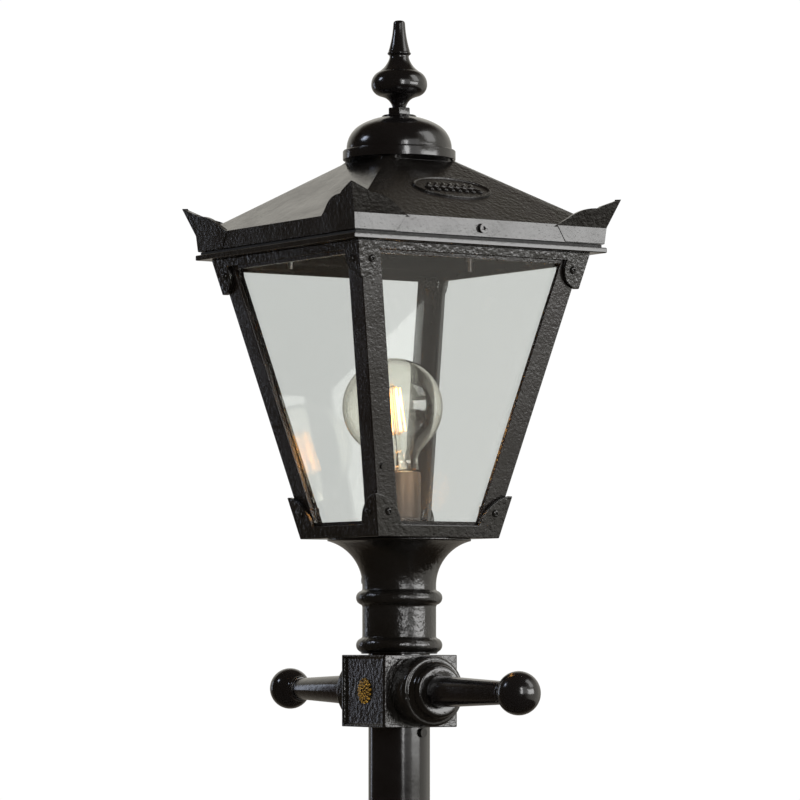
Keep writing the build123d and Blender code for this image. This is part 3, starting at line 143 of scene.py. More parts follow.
def soften(bm, width, angle=28, segments=3):
    """Rounds every edge that is sharper than `angle` degrees, by `width` in mm, as thick paint does."""
    edges = [e for e in bm.edges if len(e.link_faces) == 2 and e.calc_face_angle() > radians(angle)]
    bmesh.ops.bevel(bm, geom=edges, offset=width * MM, offset_type="OFFSET", segments=segments, profile=0.5,
                    affect="EDGES", clamp_overlap=True, material=-1)
    return bm


def placed(bm, x=0.0, y=0.0, z=0.0, turn=None):
    """Turns a piece and moves it to its place, in metres."""
    bmesh.ops.transform(bm, matrix=Matrix.Translation((x, y, z)) @ (turn or Matrix()), verts=bm.verts)
    return bm


def gathered(parts):
    """Makes one piece of several."""
    whole = bmesh.new()
    for part in parts:
        mesh = bpy.data.meshes.new("part")
        part.to_mesh(mesh)
        part.free()
        whole.from_mesh(mesh)
        bpy.data.meshes.remove(mesh)
    return whole


def on_four_sides(bm):
    """Repeats what is on one side of the lantern on the other three."""
    bmesh.ops.spin(bm, geom=bm.verts[:] + bm.edges[:] + bm.faces[:], axis=(0, 0, 1), cent=(0, 0, 0),
                   angle=1.5 * pi, steps=3, use_duplicate=True)
    bmesh.ops.recalc_face_normals(bm, faces=bm.faces)
    return bm


def finished(bm, name, body, material, slot, *nodes):
    """Makes the piece an object that rides on a body and stands for the named CAD nodes."""
    mesh = bpy.data.meshes.new(name)
    bm.to_mesh(mesh)
    bm.free()
    mesh.shade_smooth()
    mesh.materials.append(material)
    piece = bpy.data.objects.new(name, mesh)
    bpy.context.scene.collection.objects.link(piece)
    piece.modifiers.new("flat faces stay flat", "WEIGHTED_NORMAL").keep_sharp = True
    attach(piece, body)
    if nodes:
        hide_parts(*nodes)
    return piece


tube_low, tube_high = (corner.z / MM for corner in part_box("post_tube"))
TUBE_R, TUBE_BORE, TUBE_BEVEL = 30, 27, 1
tube = turned([(TUBE_R, tube_low), (TUBE_R, tube_high - TUBE_BEVEL), (TUBE_R - TUBE_BEVEL, tube_high),
               (TUBE_BORE, tube_high), (TUBE_BORE, tube_low)])
finished(tube, "tube", "post", powder_coat, "black_gloss", "post_tube")

# ---- Ladder block -----------------------------------------------------------------------------
# A square casting that the tube passes through. Its front and back faces are sunk a little inside a
# narrow border. Sand-cast aluminium under gloss paint: the grain of the sand shows through the paint.

cast_paint = black_paint("gloss_enamel_on_sand_cast_aluminium", "#060504", 0.19, 4.4, 0.52, 2.0, 0.17)

block_low, block_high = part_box("ladder_block")
block_half = 41.5
BORDER, RECESS = 3.0, 2.6  # of the sunk faces
arm_level = (block_low.z + block_high.z) / 2
right_ball = [(low + high) / 2 for low, high in zip(*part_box("ladder_ball_right"))]
askew = atan2(right_ball[1], right_ball[0])  # the block is clamped a little askew to the lantern


def boxed(half_x, half_y, half_z):
    """A plain block about the origin, from its half sizes in mm."""
    bm = bmesh.new()
    bmesh.ops.create_cube(bm, size=2 * MM)
    bmesh.ops.scale(bm, vec=(half_x, half_y, half_z), verts=bm.verts)
    return bm


block = boxed(block_half, block_half, (block_high.z - block_low.z) / 2 / MM)
uprights = [e for e in block.edges if abs(e.verts[0].co.z - e.verts[1].co.z) > 0.01]
bmesh.ops.bevel(block, geom=uprights, offset=2.4 * MM, offset_type="OFFSET", segments=4, profile=0.5,
                affect="EDGES", material=-1)
for front in [f for f in block.faces if abs(f.normal.y) > 0.99]:
    bmesh.ops.inset_individual(block, faces=[front], thickness=BORDER * MM, depth=0)
    bmesh.ops.inset_individual(block, faces=[front], thickness=1.6 * MM, depth=-RECESS * MM)
soften(block, 0.9, angle=30)
placed(block, z=arm_level, turn=Matrix.Rotation(askew, 4, "Z"))
finished(block, "block", "post", cast_paint, "black_casting", "ladder_block")

# ---- Ladder arms ------------------------------------------------------------------------------
# Two arms that a ladder rests on. Each is a drum against the block with a hollowed shoulder, a tapered
# bar and a ball end on a small collar. The drums are turned castings, the bars and balls turned steel.

turned_paint = black_paint("gloss_enamel_on_turned_steel", "#060505", 0.15, 6.0, 0.16, 2.0, 0.03)
drum_paint = black_paint("gloss_enamel_on_turned_casting", "#060504", 0.16, 4.5, 0.34, 1.8, 0.08)

drum_end = block_half + 36.5  # end face of the hub
ball_r, ball_middle = 20.7, 217.0
ball_end = ball_middle + ball_r
bar_end = ball_middle - 24.5
drum = [(8.1, block_half), (33, block_half), (34, block_half + 1)]
drum += through((34, block_half + 20.5), (33.1, block_half + 23.2), (30.8, block_half + 24.2), 6)
drum += through((29.6, block_half + 24.3), (27.0, block_half + 26.6), (25.9, block_half + 31.0), 8)
drum += through((25.8, drum_end - 4.2), (24.6, drum_end - 1.2), (21.6, drum_end), 8)
drum += [(17.0, drum_end), (15.6, drum_end - 0.9), (8.1, drum_end - 0.9)]
bar = [(0, 30.1), (8, 30.1), (8, drum_end - 0.8), (15.3, drum_end - 0.7), (10.9, bar_end), (0, bar_end)]
collar_start = bar_end + 0.01
ball = [(0, collar_start)]
ball += through((11.4, collar_start), (12.9, collar_start + 2.3), (11.8, collar_start + 4.6), 6)
shoulder = radians(37)
ball += through((ball_r * sin(shoulder), ball_middle - ball_r * cos(shoulder)), (ball_r, ball_middle),
                (0, ball_end), 34)
for side, name in ((1, "right"), (-1, "left")):
    lay_down = Matrix.Rotation(askew, 4, "Z") @ Matrix.Rotation(side * pi / 2, 4, "Y")
    for outline, kind, paint in ((drum, "flange", drum_paint), (bar, "bar", turned_paint),
                                 (ball, "ball", turned_paint)):
        finished(placed(turned(outline), z=arm_level, turn=lay_down), f"arm_{kind}_{name}", "post", paint,
                 "black_casting" if kind == "flange" else "black_gloss", f"ladder_{kind}_{name}")

# ---- Neck -------------------------------------------------------------------------------------
# A hollow casting that slips over the tube and spreads out under the lantern, with two beads round
# it. Held by two set screws. The same painted sand casting as the block.

neck_low, neck_high = (corner.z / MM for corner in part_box("neck_casting"))
upper_bead, lower_bead = neck_high - 57.4, neck_high - 103.6
neck = [(30.2, neck_low), (36.5, neck_low), (38, neck_low + 1.2)]
for middle in (lower_bead, upper_bead):
    neck += [(36.3, middle - 7.6)] + through((37.2, middle - 6.8), (42.1, middle), (37.2, middle + 6.8), 14)
    neck += [(36.3, middle + 7.6), (36.0, middle + 8.8)]
    neck += [(36.0, middle + 37.0)] if middle == lower_bead else []
flare_start = neck_high - 46.0
neck += through((36.0, flare_start), (36 + 11.5, flare_start + 30.4), (70.0, neck_high - 2.2), 22)
neck += [(70.0, neck_high - 0.6), (69.4, neck_high), (40, neck_high), (24.1, neck_high - 23.9),
         (30.2, neck_high - 24.1)]
finished(turned(neck), "neck", "post", cast_paint, "black_casting", "neck_casting")

# ---- Lantern rings ----------------------------------------------------------------------------
# The tray at the foot of the lantern and the ring at its head are castings with leaning sides. Each
# has two rounded ears at every corner, which hold the corner bars with small button-head screws.

LEAN = 0.23  # the sides lean out by this much for each millimetre of height
RING_WALL = 4.7


def side_half(height):
    """Half the outside width of the lantern at a height above its underside, in mm."""
    return 70.1 + LEAN * height


def leaning_ring(half_outline, wall, soft):
    """Four leaning walls that meet in mitred corners. `half_outline` is one half of a side as (reach from
    the corner, height), from the middle of the side to the corner and back. The middle is reach None."""
    bm = bmesh.new()
    right = [(side_half(h) - (side_half(h) if reach is None else reach), h) for reach, h in half_outline]
    left = [(-y, h) for y, h in reversed(right) if y > 1e-6]
    outline = right + left
    outer = [bm.verts.new((side_half(h) * MM, y * MM, h * MM)) for y, h in outline]
    face = bm.faces.new(outer)
    grown = bmesh.ops.extrude_face_region(bm, geom=[face])
    inner = [v for v in grown["geom"] if isinstance(v, bmesh.types.BMVert)]
    for vert in inner:
        at_corner = abs(abs(vert.co.y) - vert.co.x) < 1e-5
        vert.co.x -= wall * MM
        if at_corner or abs(vert.co.y) > vert.co.x:
            vert.co.y = vert.co.x if vert.co.y > 0 else -vert.co.x
    mitres = [f for f in bm.faces if all(abs(abs(v.co.y) - v.co.x) < 1e-5 for v in f.verts)]
    bmesh.ops.delete(bm, geom=mitres, context="FACES_ONLY")
    on_four_sides(bm)
    bmesh.ops.remove_doubles(bm, verts=bm.verts, dist=1e-6)
    bmesh.ops.recalc_face_normals(bm, faces=bm.faces)
    return soften(bm, soft)


TRAY_TIP = 40.8
tray_ear = through((28.0, 12.0), (19.6, 32.6), (3.4, TRAY_TIP), 14)
tray = leaning_ring([(None, 0.0), (0.0, 0.0), (0.0, TRAY_TIP)] + tray_ear[::-1] + [(None, 12.0)],
                    RING_WALL, 0.9)
tray_floor = boxed(side_half(3) - 3, side_half(3) - 3, 2.9)
finished(placed(tray, z=LANTERN), "tray_walls", "post", cast_paint, "black_casting", "base_tray")
placed(soften(tray_floor, 0.8), z=LANTERN + 3.1 * MM)
finished(tray_floor, "tray_floor", "post", cast_paint, "black_casting")

RING_SILL, RING_TIP, RING_TOP = 267.0, 240.5, 274.6
ring_ear = through((24.4, RING_SILL), (17.5, 247.6), (2.8, RING_TIP), 14)
ring = leaning_ring([(None, RING_SILL)] + ring_ear + [(0.0, RING_TIP), (0.0, RING_TOP), (None, RING_TOP)],
                    RING_WALL, 0.8)
finished(placed(ring, z=LANTERN), "head_ring", "post", cast_paint, "black_casting", "top_ring")

# ---- Corner bars ------------------------------------------------------------------------------
# Four angle bars that lean with the sides, inside the ears. Cast with a fine sandy skin and painted.

bar_paint = black_paint("gloss_enamel_on_fine_casting", "#070504", 0.22, 3.2, 0.28, 1.7, 0.16)

BAR_LOW, BAR_HIGH = 6.0, 269.7
LEG, LEG_THICK = 23.0, 5.0
for turn, name in enumerate(("front_right", "back_right", "back_left", "front_left")):
    angle_bar = bmesh.new()
    corner = side_half(BAR_LOW) - RING_WALL
    section = [(0, 0), (0, LEG), (-LEG_THICK, LEG), (-LEG_THICK, LEG_THICK), (-LEG, LEG_THICK), (-LEG, 0)]
    foot = [angle_bar.verts.new(((corner + x) * MM, (y - corner) * MM, BAR_LOW * MM)) for x, y in section]
    foot_face = angle_bar.faces.new(foot)
    risen = bmesh.ops.extrude_face_region(angle_bar, geom=[foot_face])
    head = [v for v in risen["geom"] if isinstance(v, bmesh.types.BMVert)]
    out = LEAN * (BAR_HIGH - BAR_LOW) * MM
    bmesh.ops.translate(angle_bar, verts=head, vec=(out, -out, (BAR_HIGH - BAR_LOW) * MM))
    bmesh.ops.recalc_face_normals(angle_bar, faces=angle_bar.faces)
    soften(angle_bar, 1.0)
    placed(angle_bar, z=LANTERN, turn=Matrix.Rotation(turn * pi / 2, 4, "Z"))
    finished(angle_bar, f"angle_bar_{name}", "post", bar_paint, "black_casting", f"corner_bar_{name}")

# ---- Ear screws -------------------------------------------------------------------------------
# Sixteen button-head screws with hexagon sockets, four to a side, that hold ears, bars and glazing
# clips together. Steel, painted over with the lantern.

SCREW_INSET = 14.0  # from the corner's edge
SCREW_LEVELS = (24.0, 258.0)
screw_paint = black_paint("gloss_enamel_on_steel_screws", "#0A0908", 0.12, 3.0, 0.04, 1.2, 0.01)


def button_head(radius, rise, socket, shank):
    """A button-head screw that points up from its seat at height 0, with its shank below."""
    outline = [(0, rise * 0.35), (socket, rise * 0.35), (socket, rise * 0.92), (socket * 1.25, rise)]
    outline += through((socket * 1.25, rise), (radius * 0.82, rise * 0.66), (radius, rise * 0.12), 6)[1:]
    outline += [(radius, 0.0), (2.0, 0.0), (2.0, -shank), (0, -shank)]
    return turned(outline, 24)


def leaning_place(inset, height):
    """Where a screw's seat is on the +X side: `inset` from the corner at a height, square to the face."""
    square_to_face = Matrix.Rotation(atan2(1, -LEAN), 4, "Y")
    seat = (side_half(height) * MM, (side_half(height) - inset) * MM, height * MM)
    return Matrix.Translation(seat) @ square_to_face


screws = []
for height in SCREW_LEVELS:
    for inset in (SCREW_INSET, 2 * side_half(height) - SCREW_INSET):
        screws.append(placed(button_head(3.8, 2.2, 1.5, 11.0), turn=leaning_place(inset, height)))
screws = on_four_sides(gathered(screws))
finished(placed(screws, z=LANTERN), "button_head_screws", "post", screw_paint, "black_screw", "ear_screws")

# ---- Glazing clips ----------------------------------------------------------------------------
# A small cast clip behind every ear screw, tapped for it: its foot lies on the leg of the bar and its
# tongue laps just over the edge of the pane. Painted black with the bars and hidden behind them.

CLIP_SEAT = 11.4  # from the corner's edge to the near end of a clip
CLIP_FOOT, CLIP_TONGUE = (5.0, 2.0, 11.72), (6.5, 0.75, 14.47)  # half length, half thickness, depth
clips = []
for height in SCREW_LEVELS:
    for long, thick, deep in (CLIP_FOOT, CLIP_TONGUE):
        for middle in (CLIP_SEAT + long, 2 * side_half(height) - CLIP_SEAT - long):
            sunk = leaning_place(middle, height) @ Matrix.Translation((0, 0, -deep * MM))
            clips.append(placed(soften(boxed(4.0, long, thick), 0.3), turn=sunk))
clips = on_four_sides(gathered(clips))
finished(placed(clips, z=LANTERN), "clips", "post", bar_paint, "black_casting", "glazing_clips")

# ---- Glass ------------------------------------------------------------------------------------
# Four panes of 4 mm float glass that lean with the sides, clipped behind the legs of the bars. Float
# glass is flat and clear, with a faint grey-green tint. The panes keep their CAD shape.


def clear_glass(name, tint, roughness, ripple, ripple_depth):
    """Clear glass with a tint. `ripple` and its depth are in mm."""
    material, tree, place, output = blank_material(name)
    waves = add_node(tree, "ShaderNodeTexNoise", {"Vector": place, "Scale": 1 / (ripple * MM), "Detail": 2.0})
    rippled = add_node(tree, "ShaderNodeBump", {"Height": waves.outputs["Fac"], "Distance": ripple_depth * MM,
                                                "Strength": 1.0})
    shader = add_node(tree, "ShaderNodeBsdfPrincipled", {"Base Color": linear(tint), "Roughness": roughness,
                                                         "IOR": 1.5, "Transmission Weight": 1.0,
                                                         "Normal": rippled.outputs["Normal"]})
    tree.links.new(shader.outputs["BSDF"], output.inputs["Surface"])
    return material


float_glass = clear_glass("float_glass", "#E9EBE9", 0.0, 60.0, 0.004)
for side in ("right", "back", "left", "front"):
    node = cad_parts[f"glass_pane_{side}"]
    node.data.materials.clear()
    node.data.materials.append(float_glass)
    node.visible_shadow = False

# ---- Drip plate -------------------------------------------------------------------------------
# A flat square frame on the head ring that throws the rain clear, with an upstand round its opening.

plate_low, plate_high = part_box("drip_plate")
PLATE_HALF = plate_high.x / MM
PLATE_THICK, PLATE_OPENING_HALF = 5.2, 108
UPSTAND_HALF, UPSTAND_WALL, UPSTAND_TALL = 126, 4, 13.2


def square_frame(half, wide, tall, soft):
    """A flat square frame of half width `half` that stands on height 0, in mm."""
    bm = bmesh.new()
    bmesh.ops.create_grid(bm, x_segments=1, y_segments=1, size=half * MM)
    bmesh.ops.inset_individual(bm, faces=bm.faces[:], thickness=wide * MM, depth=0)
    middle = [f for f in bm.faces if f.calc_center_median().length < 1e-6]
    bmesh.ops.delete(bm, geom=middle, context="FACES")
    bmesh.ops.solidify(bm, geom=bm.faces[:], thickness=tall * MM)
    bmesh.ops.recalc_face_normals(bm, faces=bm.faces)
    placed(bm, z=-min(v.co.z for v in bm.verts))
    return soften(bm, soft)


plate = square_frame(PLATE_HALF, PLATE_HALF - PLATE_OPENING_HALF, PLATE_THICK, 1.1)
plate_paint = black_paint("gloss_enamel_on_pressed_plate", "#070605", 0.15, 5.0, 0.20, 2.0, 0.04)
finished(placed(plate, z=plate_low.z), "drip_frame", "post", plate_paint, "black_gloss", "drip_plate")
upstand = square_frame(UPSTAND_HALF, UPSTAND_WALL, UPSTAND_TALL, 0.8)
placed(upstand, z=plate_low.z + 5.0 * MM)
finished(upstand, "upstand", "post", plate_paint, "black_gloss")
# Two lugs stand on the plate's -X edge and hold the pin of the roof's hinge.
HINGE_X, HINGE_Z, HINGE_R = -150.0, 300.0, 4.5
for side, name in ((-1, "front"), (1, "back")):
    lug = bmesh.new()
    cheek = [(-4.5, -25.3), (-4.5, 0.0)] + through((-4.5, 0.0), (0.0, 4.5), (4.5, 0.0), 10)[1:-1]
    cheek += [(4.5, 0.0), (4.5, -20.1), (12.0, -20.1), (12.0, -25.3)]
    outline = [lug.verts.new((x * MM, -4.0 * MM, z * MM)) for x, z in cheek]
    lug_face = lug.faces.new(outline)
    lug_side = bmesh.ops.extrude_face_region(lug, geom=[lug_face])
    bmesh.ops.translate(lug, verts=[v for v in lug_side["geom"] if isinstance(v, bmesh.types.BMVert)],
                        vec=(0, 8.0 * MM, 0))
    bmesh.ops.recalc_face_normals(lug, faces=lug.faces)
    soften(lug, 0.6)
    placed(lug, x=HINGE_X * MM, y=side * 36.0 * MM, z=LANTERN + HINGE_Z * MM)
    finished(lug, f"hinge_lug_{name}", "post", plate_paint, "black_gloss")

# ---- Roof -------------------------------------------------------------------------------------
# One casting: an upright apron, four slopes whose hips round off into a seat for the dome, a notched
# horn over every corner, and a plain oval badge on one slope. It hinges up for changing the bulb.

roof_paint = black_paint("gloss_enamel_on_roof_casting", "#070605", 0.20, 4.2, 0.36, 1.8, 0.11)

EAVES, CROWN = 299.5, 368.6
SLOPE = radians(32.8)
ROOF_HALF, APRON_FOOT = 144.0, 283.0
SEAT_R, VENT_R, VENT_BORE = 52.0, 44.0, 40.0
HIP_BLEND = 1.6  # how gently the square turns into the round seat


def roof_ring(bm, height, half=None, round_r=None):
    """A loop round the roof: a square of that half width, a circle of radius round_r, or their blend."""
    loop = bmesh.ops.create_circle(bm, segments=160, radius=1.0)["verts"]
    for vert in loop:
        if half is None:
            reach = round_r
        else:
            reach = half / max(abs(vert.co.x), abs(vert.co.y))
            if round_r:
                reach = -log(exp(-reach / HIP_BLEND) + exp(-round_r / HIP_BLEND)) * HIP_BLEND
        vert.co = Vector((vert.co.x * reach * MM, vert.co.y * reach * MM, height * MM))
    return loop


def roof_half(height):
    """Half the width of the square roof at a height on its slopes."""
    return ROOF_HALF - (height - EAVES) / tan(SLOPE)


roof = bmesh.new()
ROUNDED = 345.0  # where the hips begin to give way to the round seat
spread = (sqrt(2) * roof_half(ROUNDED) - SEAT_R) / (CROWN - ROUNDED)
levels = [(APRON_FOOT, 142.5, None), (EAVES, ROOF_HALF, None)]
levels += [(h, roof_half(h), SEAT_R + (CROWN - h) * spread)
           for h in (310.0, 322.0, 334.0, 340.0, 345.0, 350.0, 354.0, 358.0, 362.0, 365.5)]
levels += [(CROWN, None, SEAT_R), (CROWN, None, VENT_R), (CROWN + 7.5, None, VENT_R)]
levels += [(CROWN + 7.5, None, VENT_BORE), (362.0, None, VENT_BORE)]
levels += [(356.0, 48.0, None), (300.0, 134.5, None), (APRON_FOOT, 136.5, None)]
# Known fault: flat faces close the shell at the apron's foot and over the vent, where it should be open.
loops = []
for height, half, round_r in levels:
    verts = roof_ring(roof, height, half, round_r)
    loops.append(list({e for v in verts for e in v.link_edges}))
for lower, upper in zip(loops, loops[1:] + loops[:1]):
    bmesh.ops.bridge_loops(roof, edges=lower + upper)
bmesh.ops.recalc_face_normals(roof, faces=roof.faces)
soften(roof, 1.2, angle=35)


def corner_half(bm, outline, wall, flat_at, lean):
    """One of the two plates that meet at the +X +Y corner. `outline` is (reach from the corner, height).
    The plate's outer face is at half width flat_at[1] at height flat_at[0] and leans out by `lean`."""
    half_at = [flat_at[1] + (h - flat_at[0]) * lean for _, h in outline]
    outer = [bm.verts.new((half * MM, (half - reach) * MM, h * MM))
             for half, (reach, h) in zip(half_at, outline)]
    face = bm.faces.new(outer)
    grown = bmesh.ops.extrude_face_region(bm, geom=[face])
    for vert in [v for v in grown["geom"] if isinstance(v, bmesh.types.BMVert)]:
        vert.co.x -= wall * MM
        vert.co.y = min(vert.co.y, vert.co.x)
    on_outer = set(outer)
    for vert in bm.verts:
        if vert not in on_outer and any(abs(vert.co.z - v.co.z) < 1e-7 and abs(v.co.x - v.co.y) < 1e-7
                                        for v in outer) and vert.co.y > vert.co.x - 1e-6:
            vert.co.y = vert.co.x
    bmesh.ops.delete(bm, geom=[f for f in bm.faces if all(abs(v.co.x - v.co.y) < 1e-6 for v in f.verts)],
                     context="FACES_ONLY")


def at_four_corners(bm, soft):
    """Mirrors a half corner across the mitre, rounds its edges and repeats it at every corner."""
    bmesh.ops.mirror(bm, geom=bm.verts[:] + bm.edges[:] + bm.faces[:], matrix=Matrix.Rotation(pi / 4, 4, "Z"),
                     merge_dist=1e-6, axis="Y")
    bmesh.ops.remove_doubles(bm, verts=bm.verts, dist=1e-6)
    bmesh.ops.recalc_face_normals(bm, faces=bm.faces)
    soften(bm, soft)
    return on_four_sides(bm)


HORN_FOOT, HORN_TIP = 297.0, 326.0
horn_top = through((0.6, HORN_TIP), (9.0, 322.6), (18.5, 318.6), 6)
horn_top += through((19.3, 317.6), (21.5, 316.6), (24.5, 316.4), 4)
horn_top += through((26.5, 316.2), (38.5, 313.4), (47.0, 308.0), 8)
horn_top += through((49.5, 305.6), (56.0, 300.6), (61.5, HORN_FOOT), 6)
horns = bmesh.new()
corner_half(horns, [(0.0, HORN_FOOT), (0.0, HORN_TIP)] + horn_top, 4.2, (HORN_FOOT, 143.8), 0.37)
at_four_corners(horns, 0.9)
# Below each horn the apron is a little thicker, as far as a slanting edge.
pads = bmesh.new()
PAD_FOOT, PAD_HEAD = 283.3, EAVES - 0.6
corner_half(pads, [(0.0, PAD_FOOT), (0.0, PAD_HEAD), (58.5, PAD_HEAD), (46.5, PAD_FOOT)], 2.4,
            (PAD_FOOT, 143.1), 0.09)
at_four_corners(pads, 0.5)
# The middle part of the hinge, cast on the -X apron.
barrel = bmesh.new()
bmesh.ops.create_cone(barrel, cap_ends=True, segments=32, radius1=HINGE_R * MM, radius2=HINGE_R * MM,
                      depth=63.2 * MM)
bmesh.ops.rotate(barrel, cent=(0, 0, 0), matrix=Matrix.Rotation(pi / 2, 3, "X"), verts=barrel.verts)
bmesh.ops.translate(barrel, vec=(HINGE_X * MM, 0, HINGE_Z * MM), verts=barrel.verts)
barrel = gathered([barrel, placed(boxed(4.4, 31.6, 2.2), x=-146.4 * MM, z=297.9 * MM)])
finished(placed(roof, z=LANTERN), "roof_shell", "roof", roof_paint, "black_casting", "roof_casting")
finished(placed(horns, z=LANTERN), "horns", "roof", roof_paint, "black_casting")
finished(placed(pads, z=LANTERN), "apron_corner_pads", "roof", roof_paint, "black_casting")
finished(placed(soften(barrel, 0.5), z=LANTERN), "roof_hinge_barrel", "roof", roof_paint, "black_casting")

# An oval badge stands on the +X slope: a raised rim round a plain field, with a cast sprig of leaves.
BADGE_UP, BADGE_LONG, BADGE_WIDE = 63.0, 44.0, 21.0  # up the slope from the eaves, and its half sizes
badge = bmesh.new()
bmesh.ops.create_circle(badge, cap_ends=True, segments=96, radius=1.0)
bmesh.ops.scale(badge, vec=(BADGE_WIDE * MM, BADGE_LONG * MM, 1), verts=badge.verts)
lifted = bmesh.ops.extrude_face_region(badge, geom=badge.faces[:])
bmesh.ops.translate(badge, verts=[v for v in lifted["geom"] if isinstance(v, bmesh.types.BMVert)],
                    vec=(0, 0, 2.8 * MM))
bmesh.ops.recalc_face_normals(badge, faces=badge.faces)
field = [f for f in badge.faces if f.normal.z > 0.9]
bmesh.ops.inset_individual(badge, faces=field, thickness=2.4 * MM, depth=0)
bmesh.ops.inset_individual(badge, faces=field, thickness=0.7 * MM, depth=-1.3 * MM)
soften(badge, 0.5, segments=2)
stalk = bmesh.ops.create_cone(badge, cap_ends=True, segments=10, radius1=1.0 * MM, radius2=0.6 * MM,
                              depth=58 * MM)
bmesh.ops.rotate(badge, cent=(0, 0, 0), matrix=Matrix.Rotation(pi / 2, 3, "X"), verts=stalk["verts"])
bmesh.ops.translate(badge, vec=(0, 0, 1.7 * MM), verts=stalk["verts"])
for leaf_number in range(15):
    along = (leaf_number - 7) * 4.0
    side = 1 if leaf_number % 2 else -1
    leaf = bmesh.ops.create_icosphere(badge, subdivisions=2, radius=1.0)["verts"]
    bmesh.ops.scale(badge, vec=(2.1 * MM, 5.2 * MM, 1.5 * MM), verts=leaf)
    bmesh.ops.rotate(badge, cent=(0, 0, 0), matrix=Matrix.Rotation(side * radians(48), 3, "Z"), verts=leaf)
    bmesh.ops.translate(badge, vec=(-side * 4.4 * MM, along * MM, 1.9 * MM), verts=leaf)
BADGE_SUNK = 1.0  # into the slope
badge_x = ROOF_HALF - BADGE_UP * cos(SLOPE) - BADGE_SUNK * sin(SLOPE)
badge_z = EAVES + BADGE_UP * sin(SLOPE) - BADGE_SUNK * cos(SLOPE)
# The badge's X runs down the slope and its Z stands square to it.
placed(badge, x=badge_x * MM, z=LANTERN + badge_z * MM, turn=Matrix.Rotation(SLOPE, 4, "Y"))
finished(badge, "leaf_badge", "roof", roof_paint, "black_casting")

# ---- Dome and finial --------------------------------------------------------------------------
# A spun dome closes the vent in the crown. A rod passes up through it, and a washer, a nut and the
# turned finial hold it down. Spun and turned metal, painted smooth gloss black.

dome_paint = black_paint("gloss_enamel_on_spun_metal", "#060505", 0.14, 8.0, 0.22, 2.4, 0.025)

dome_low, dome_high = (corner.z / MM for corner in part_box("dome"))
rim_top = dome_low + 9.4
dome = [(50, dome_low), (54.4, dome_low), (55, dome_low + 0.6), (55, rim_top - 1.0), (54.2, rim_top),
        (51.6, rim_top + 0.1), (51.3, rim_top + 0.5)]
dome += through((51.3, rim_top + 2.0), (47.78, rim_top + 15.1), (38.15, rim_top + 24.75), 16)
dome += through((37.6, rim_top + 25.1), (27.8, rim_top + 29.6), (17.0, dome_high), 12)
dome += [(5.1, dome_high), (5.1, dome_high - 3), (17, dome_high - 3.2), (36, dome_high - 10.5),
         (45, dome_low + 24), (48.3, dome_low + 11)]
finished(turned(dome, 128), "dome_cap", "roof", dome_paint, "black_gloss", "dome")

washer_low, washer_high = (corner.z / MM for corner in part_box("dome_washer"))
washer = [(5.1, washer_low), (16.6, washer_low), (17, washer_low + 0.5), (16.6, washer_high - 0.5),
          (15.8, washer_high), (5.1, washer_high)]
finished(turned(washer), "washer", "roof", dome_paint, "black_gloss", "dome_washer")

nut_low, nut_high = (corner.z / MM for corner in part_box("lock_nut"))
nut = bmesh.new()
bmesh.ops.create_cone(nut, cap_ends=True, segments=6, radius1=11.8 * MM, radius2=11.8 * MM,
                      depth=(nut_high - nut_low) * MM)
soften(nut, 0.9)
placed(nut, z=(nut_low + nut_high) / 2 * MM, turn=Matrix.Rotation(radians(-3.3), 4, "Z"))
finished(nut, "hexagon_nut", "roof", dome_paint, "black_gloss", "lock_nut")

finial_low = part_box("finial")[0].z / MM
finial = [(0, 0), (6.2, 0), (6.6, 0.5)]
finial += through((6.8, 1.6), (9.6, 6.8), (16.0, 11.0), 8)
finial += through((17.5, 11.7), (25.2, 16.2), (27.3, 23.4), 12)
finial += through((27.2, 24.4), (25.2, 30.5), (19.2, 35.6), 12)
finial += through((18.2, 36.6), (12.6, 42.4), (9.5, 48.8), 10)
finial += [(9.35, 49.9), (9.6, 51.4), (10.6, 52.0)] + through((11.1, 52.4), (11.5, 53.2), (11.0, 54.1), 5)
finial += [(10.5, 54.9)] + through((10.3, 56.0), (7.4, 68.0), (5.8, 81.4), 12)
finial += through((5.7, 82.6), (4.9, 84.4), (2.6, 85.2), 6) + [(0, 85.2)]
finished(placed(turned(finial, 112), z=finial_low * MM), "finial_turning", "roof", dome_paint, "black_gloss",
         "finial")

# ---- Foot -------------------------------------------------------------------------------------
# A square cast pedestal that the post stands in, with a lapped plate door over its wiring. Sand-cast
# and painted like the block, and the door powder coated like the tube. Both keep their CAD shape.


def skin_cad(material, width, *names):
    """Gives CAD nodes a material and, if a width in mm is given, eased edges."""
    for name in names:
        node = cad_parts[name]
        node.data.materials.clear()
        node.data.materials.append(material)
        if width:
            weld = node.modifiers.new("joined", "WELD")
            weld.merge_threshold = 0.00001
            edge = node.modifiers.new("eased edges", "BEVEL")
            edge.width = width * MM
            edge.segments = 2
            edge.limit_method = "ANGLE"
            edge.angle_limit = radians(35)
            node.modifiers.new("flat faces stay flat", "WEIGHTED_NORMAL")


skin_cad(cast_paint, 1.6, "base_pedestal")
skin_cad(powder_coat, 1.0, "access_door")

# ---- Painted screws ---------------------------------------------------------------------------
# Steel set screws in the foot, under the block and in the neck, the earth screw and the screw that
# locks the roof. Painted over with the castings they sit in. They keep their CAD shape.

skin_cad(drum_paint, 0.0, "foot_set_screws", "post_stop_screws", "neck_set_screws", "earth_screw",
         "roof_lock_screw")

# ---- Plated fixings ---------------------------------------------------------------------------
# Bolts, rods, nuts, pins, the holder's stand and the lock, out of sight in the foot, the lantern and
# the roof. Bare steel with zinc plating. They keep their CAD shape.


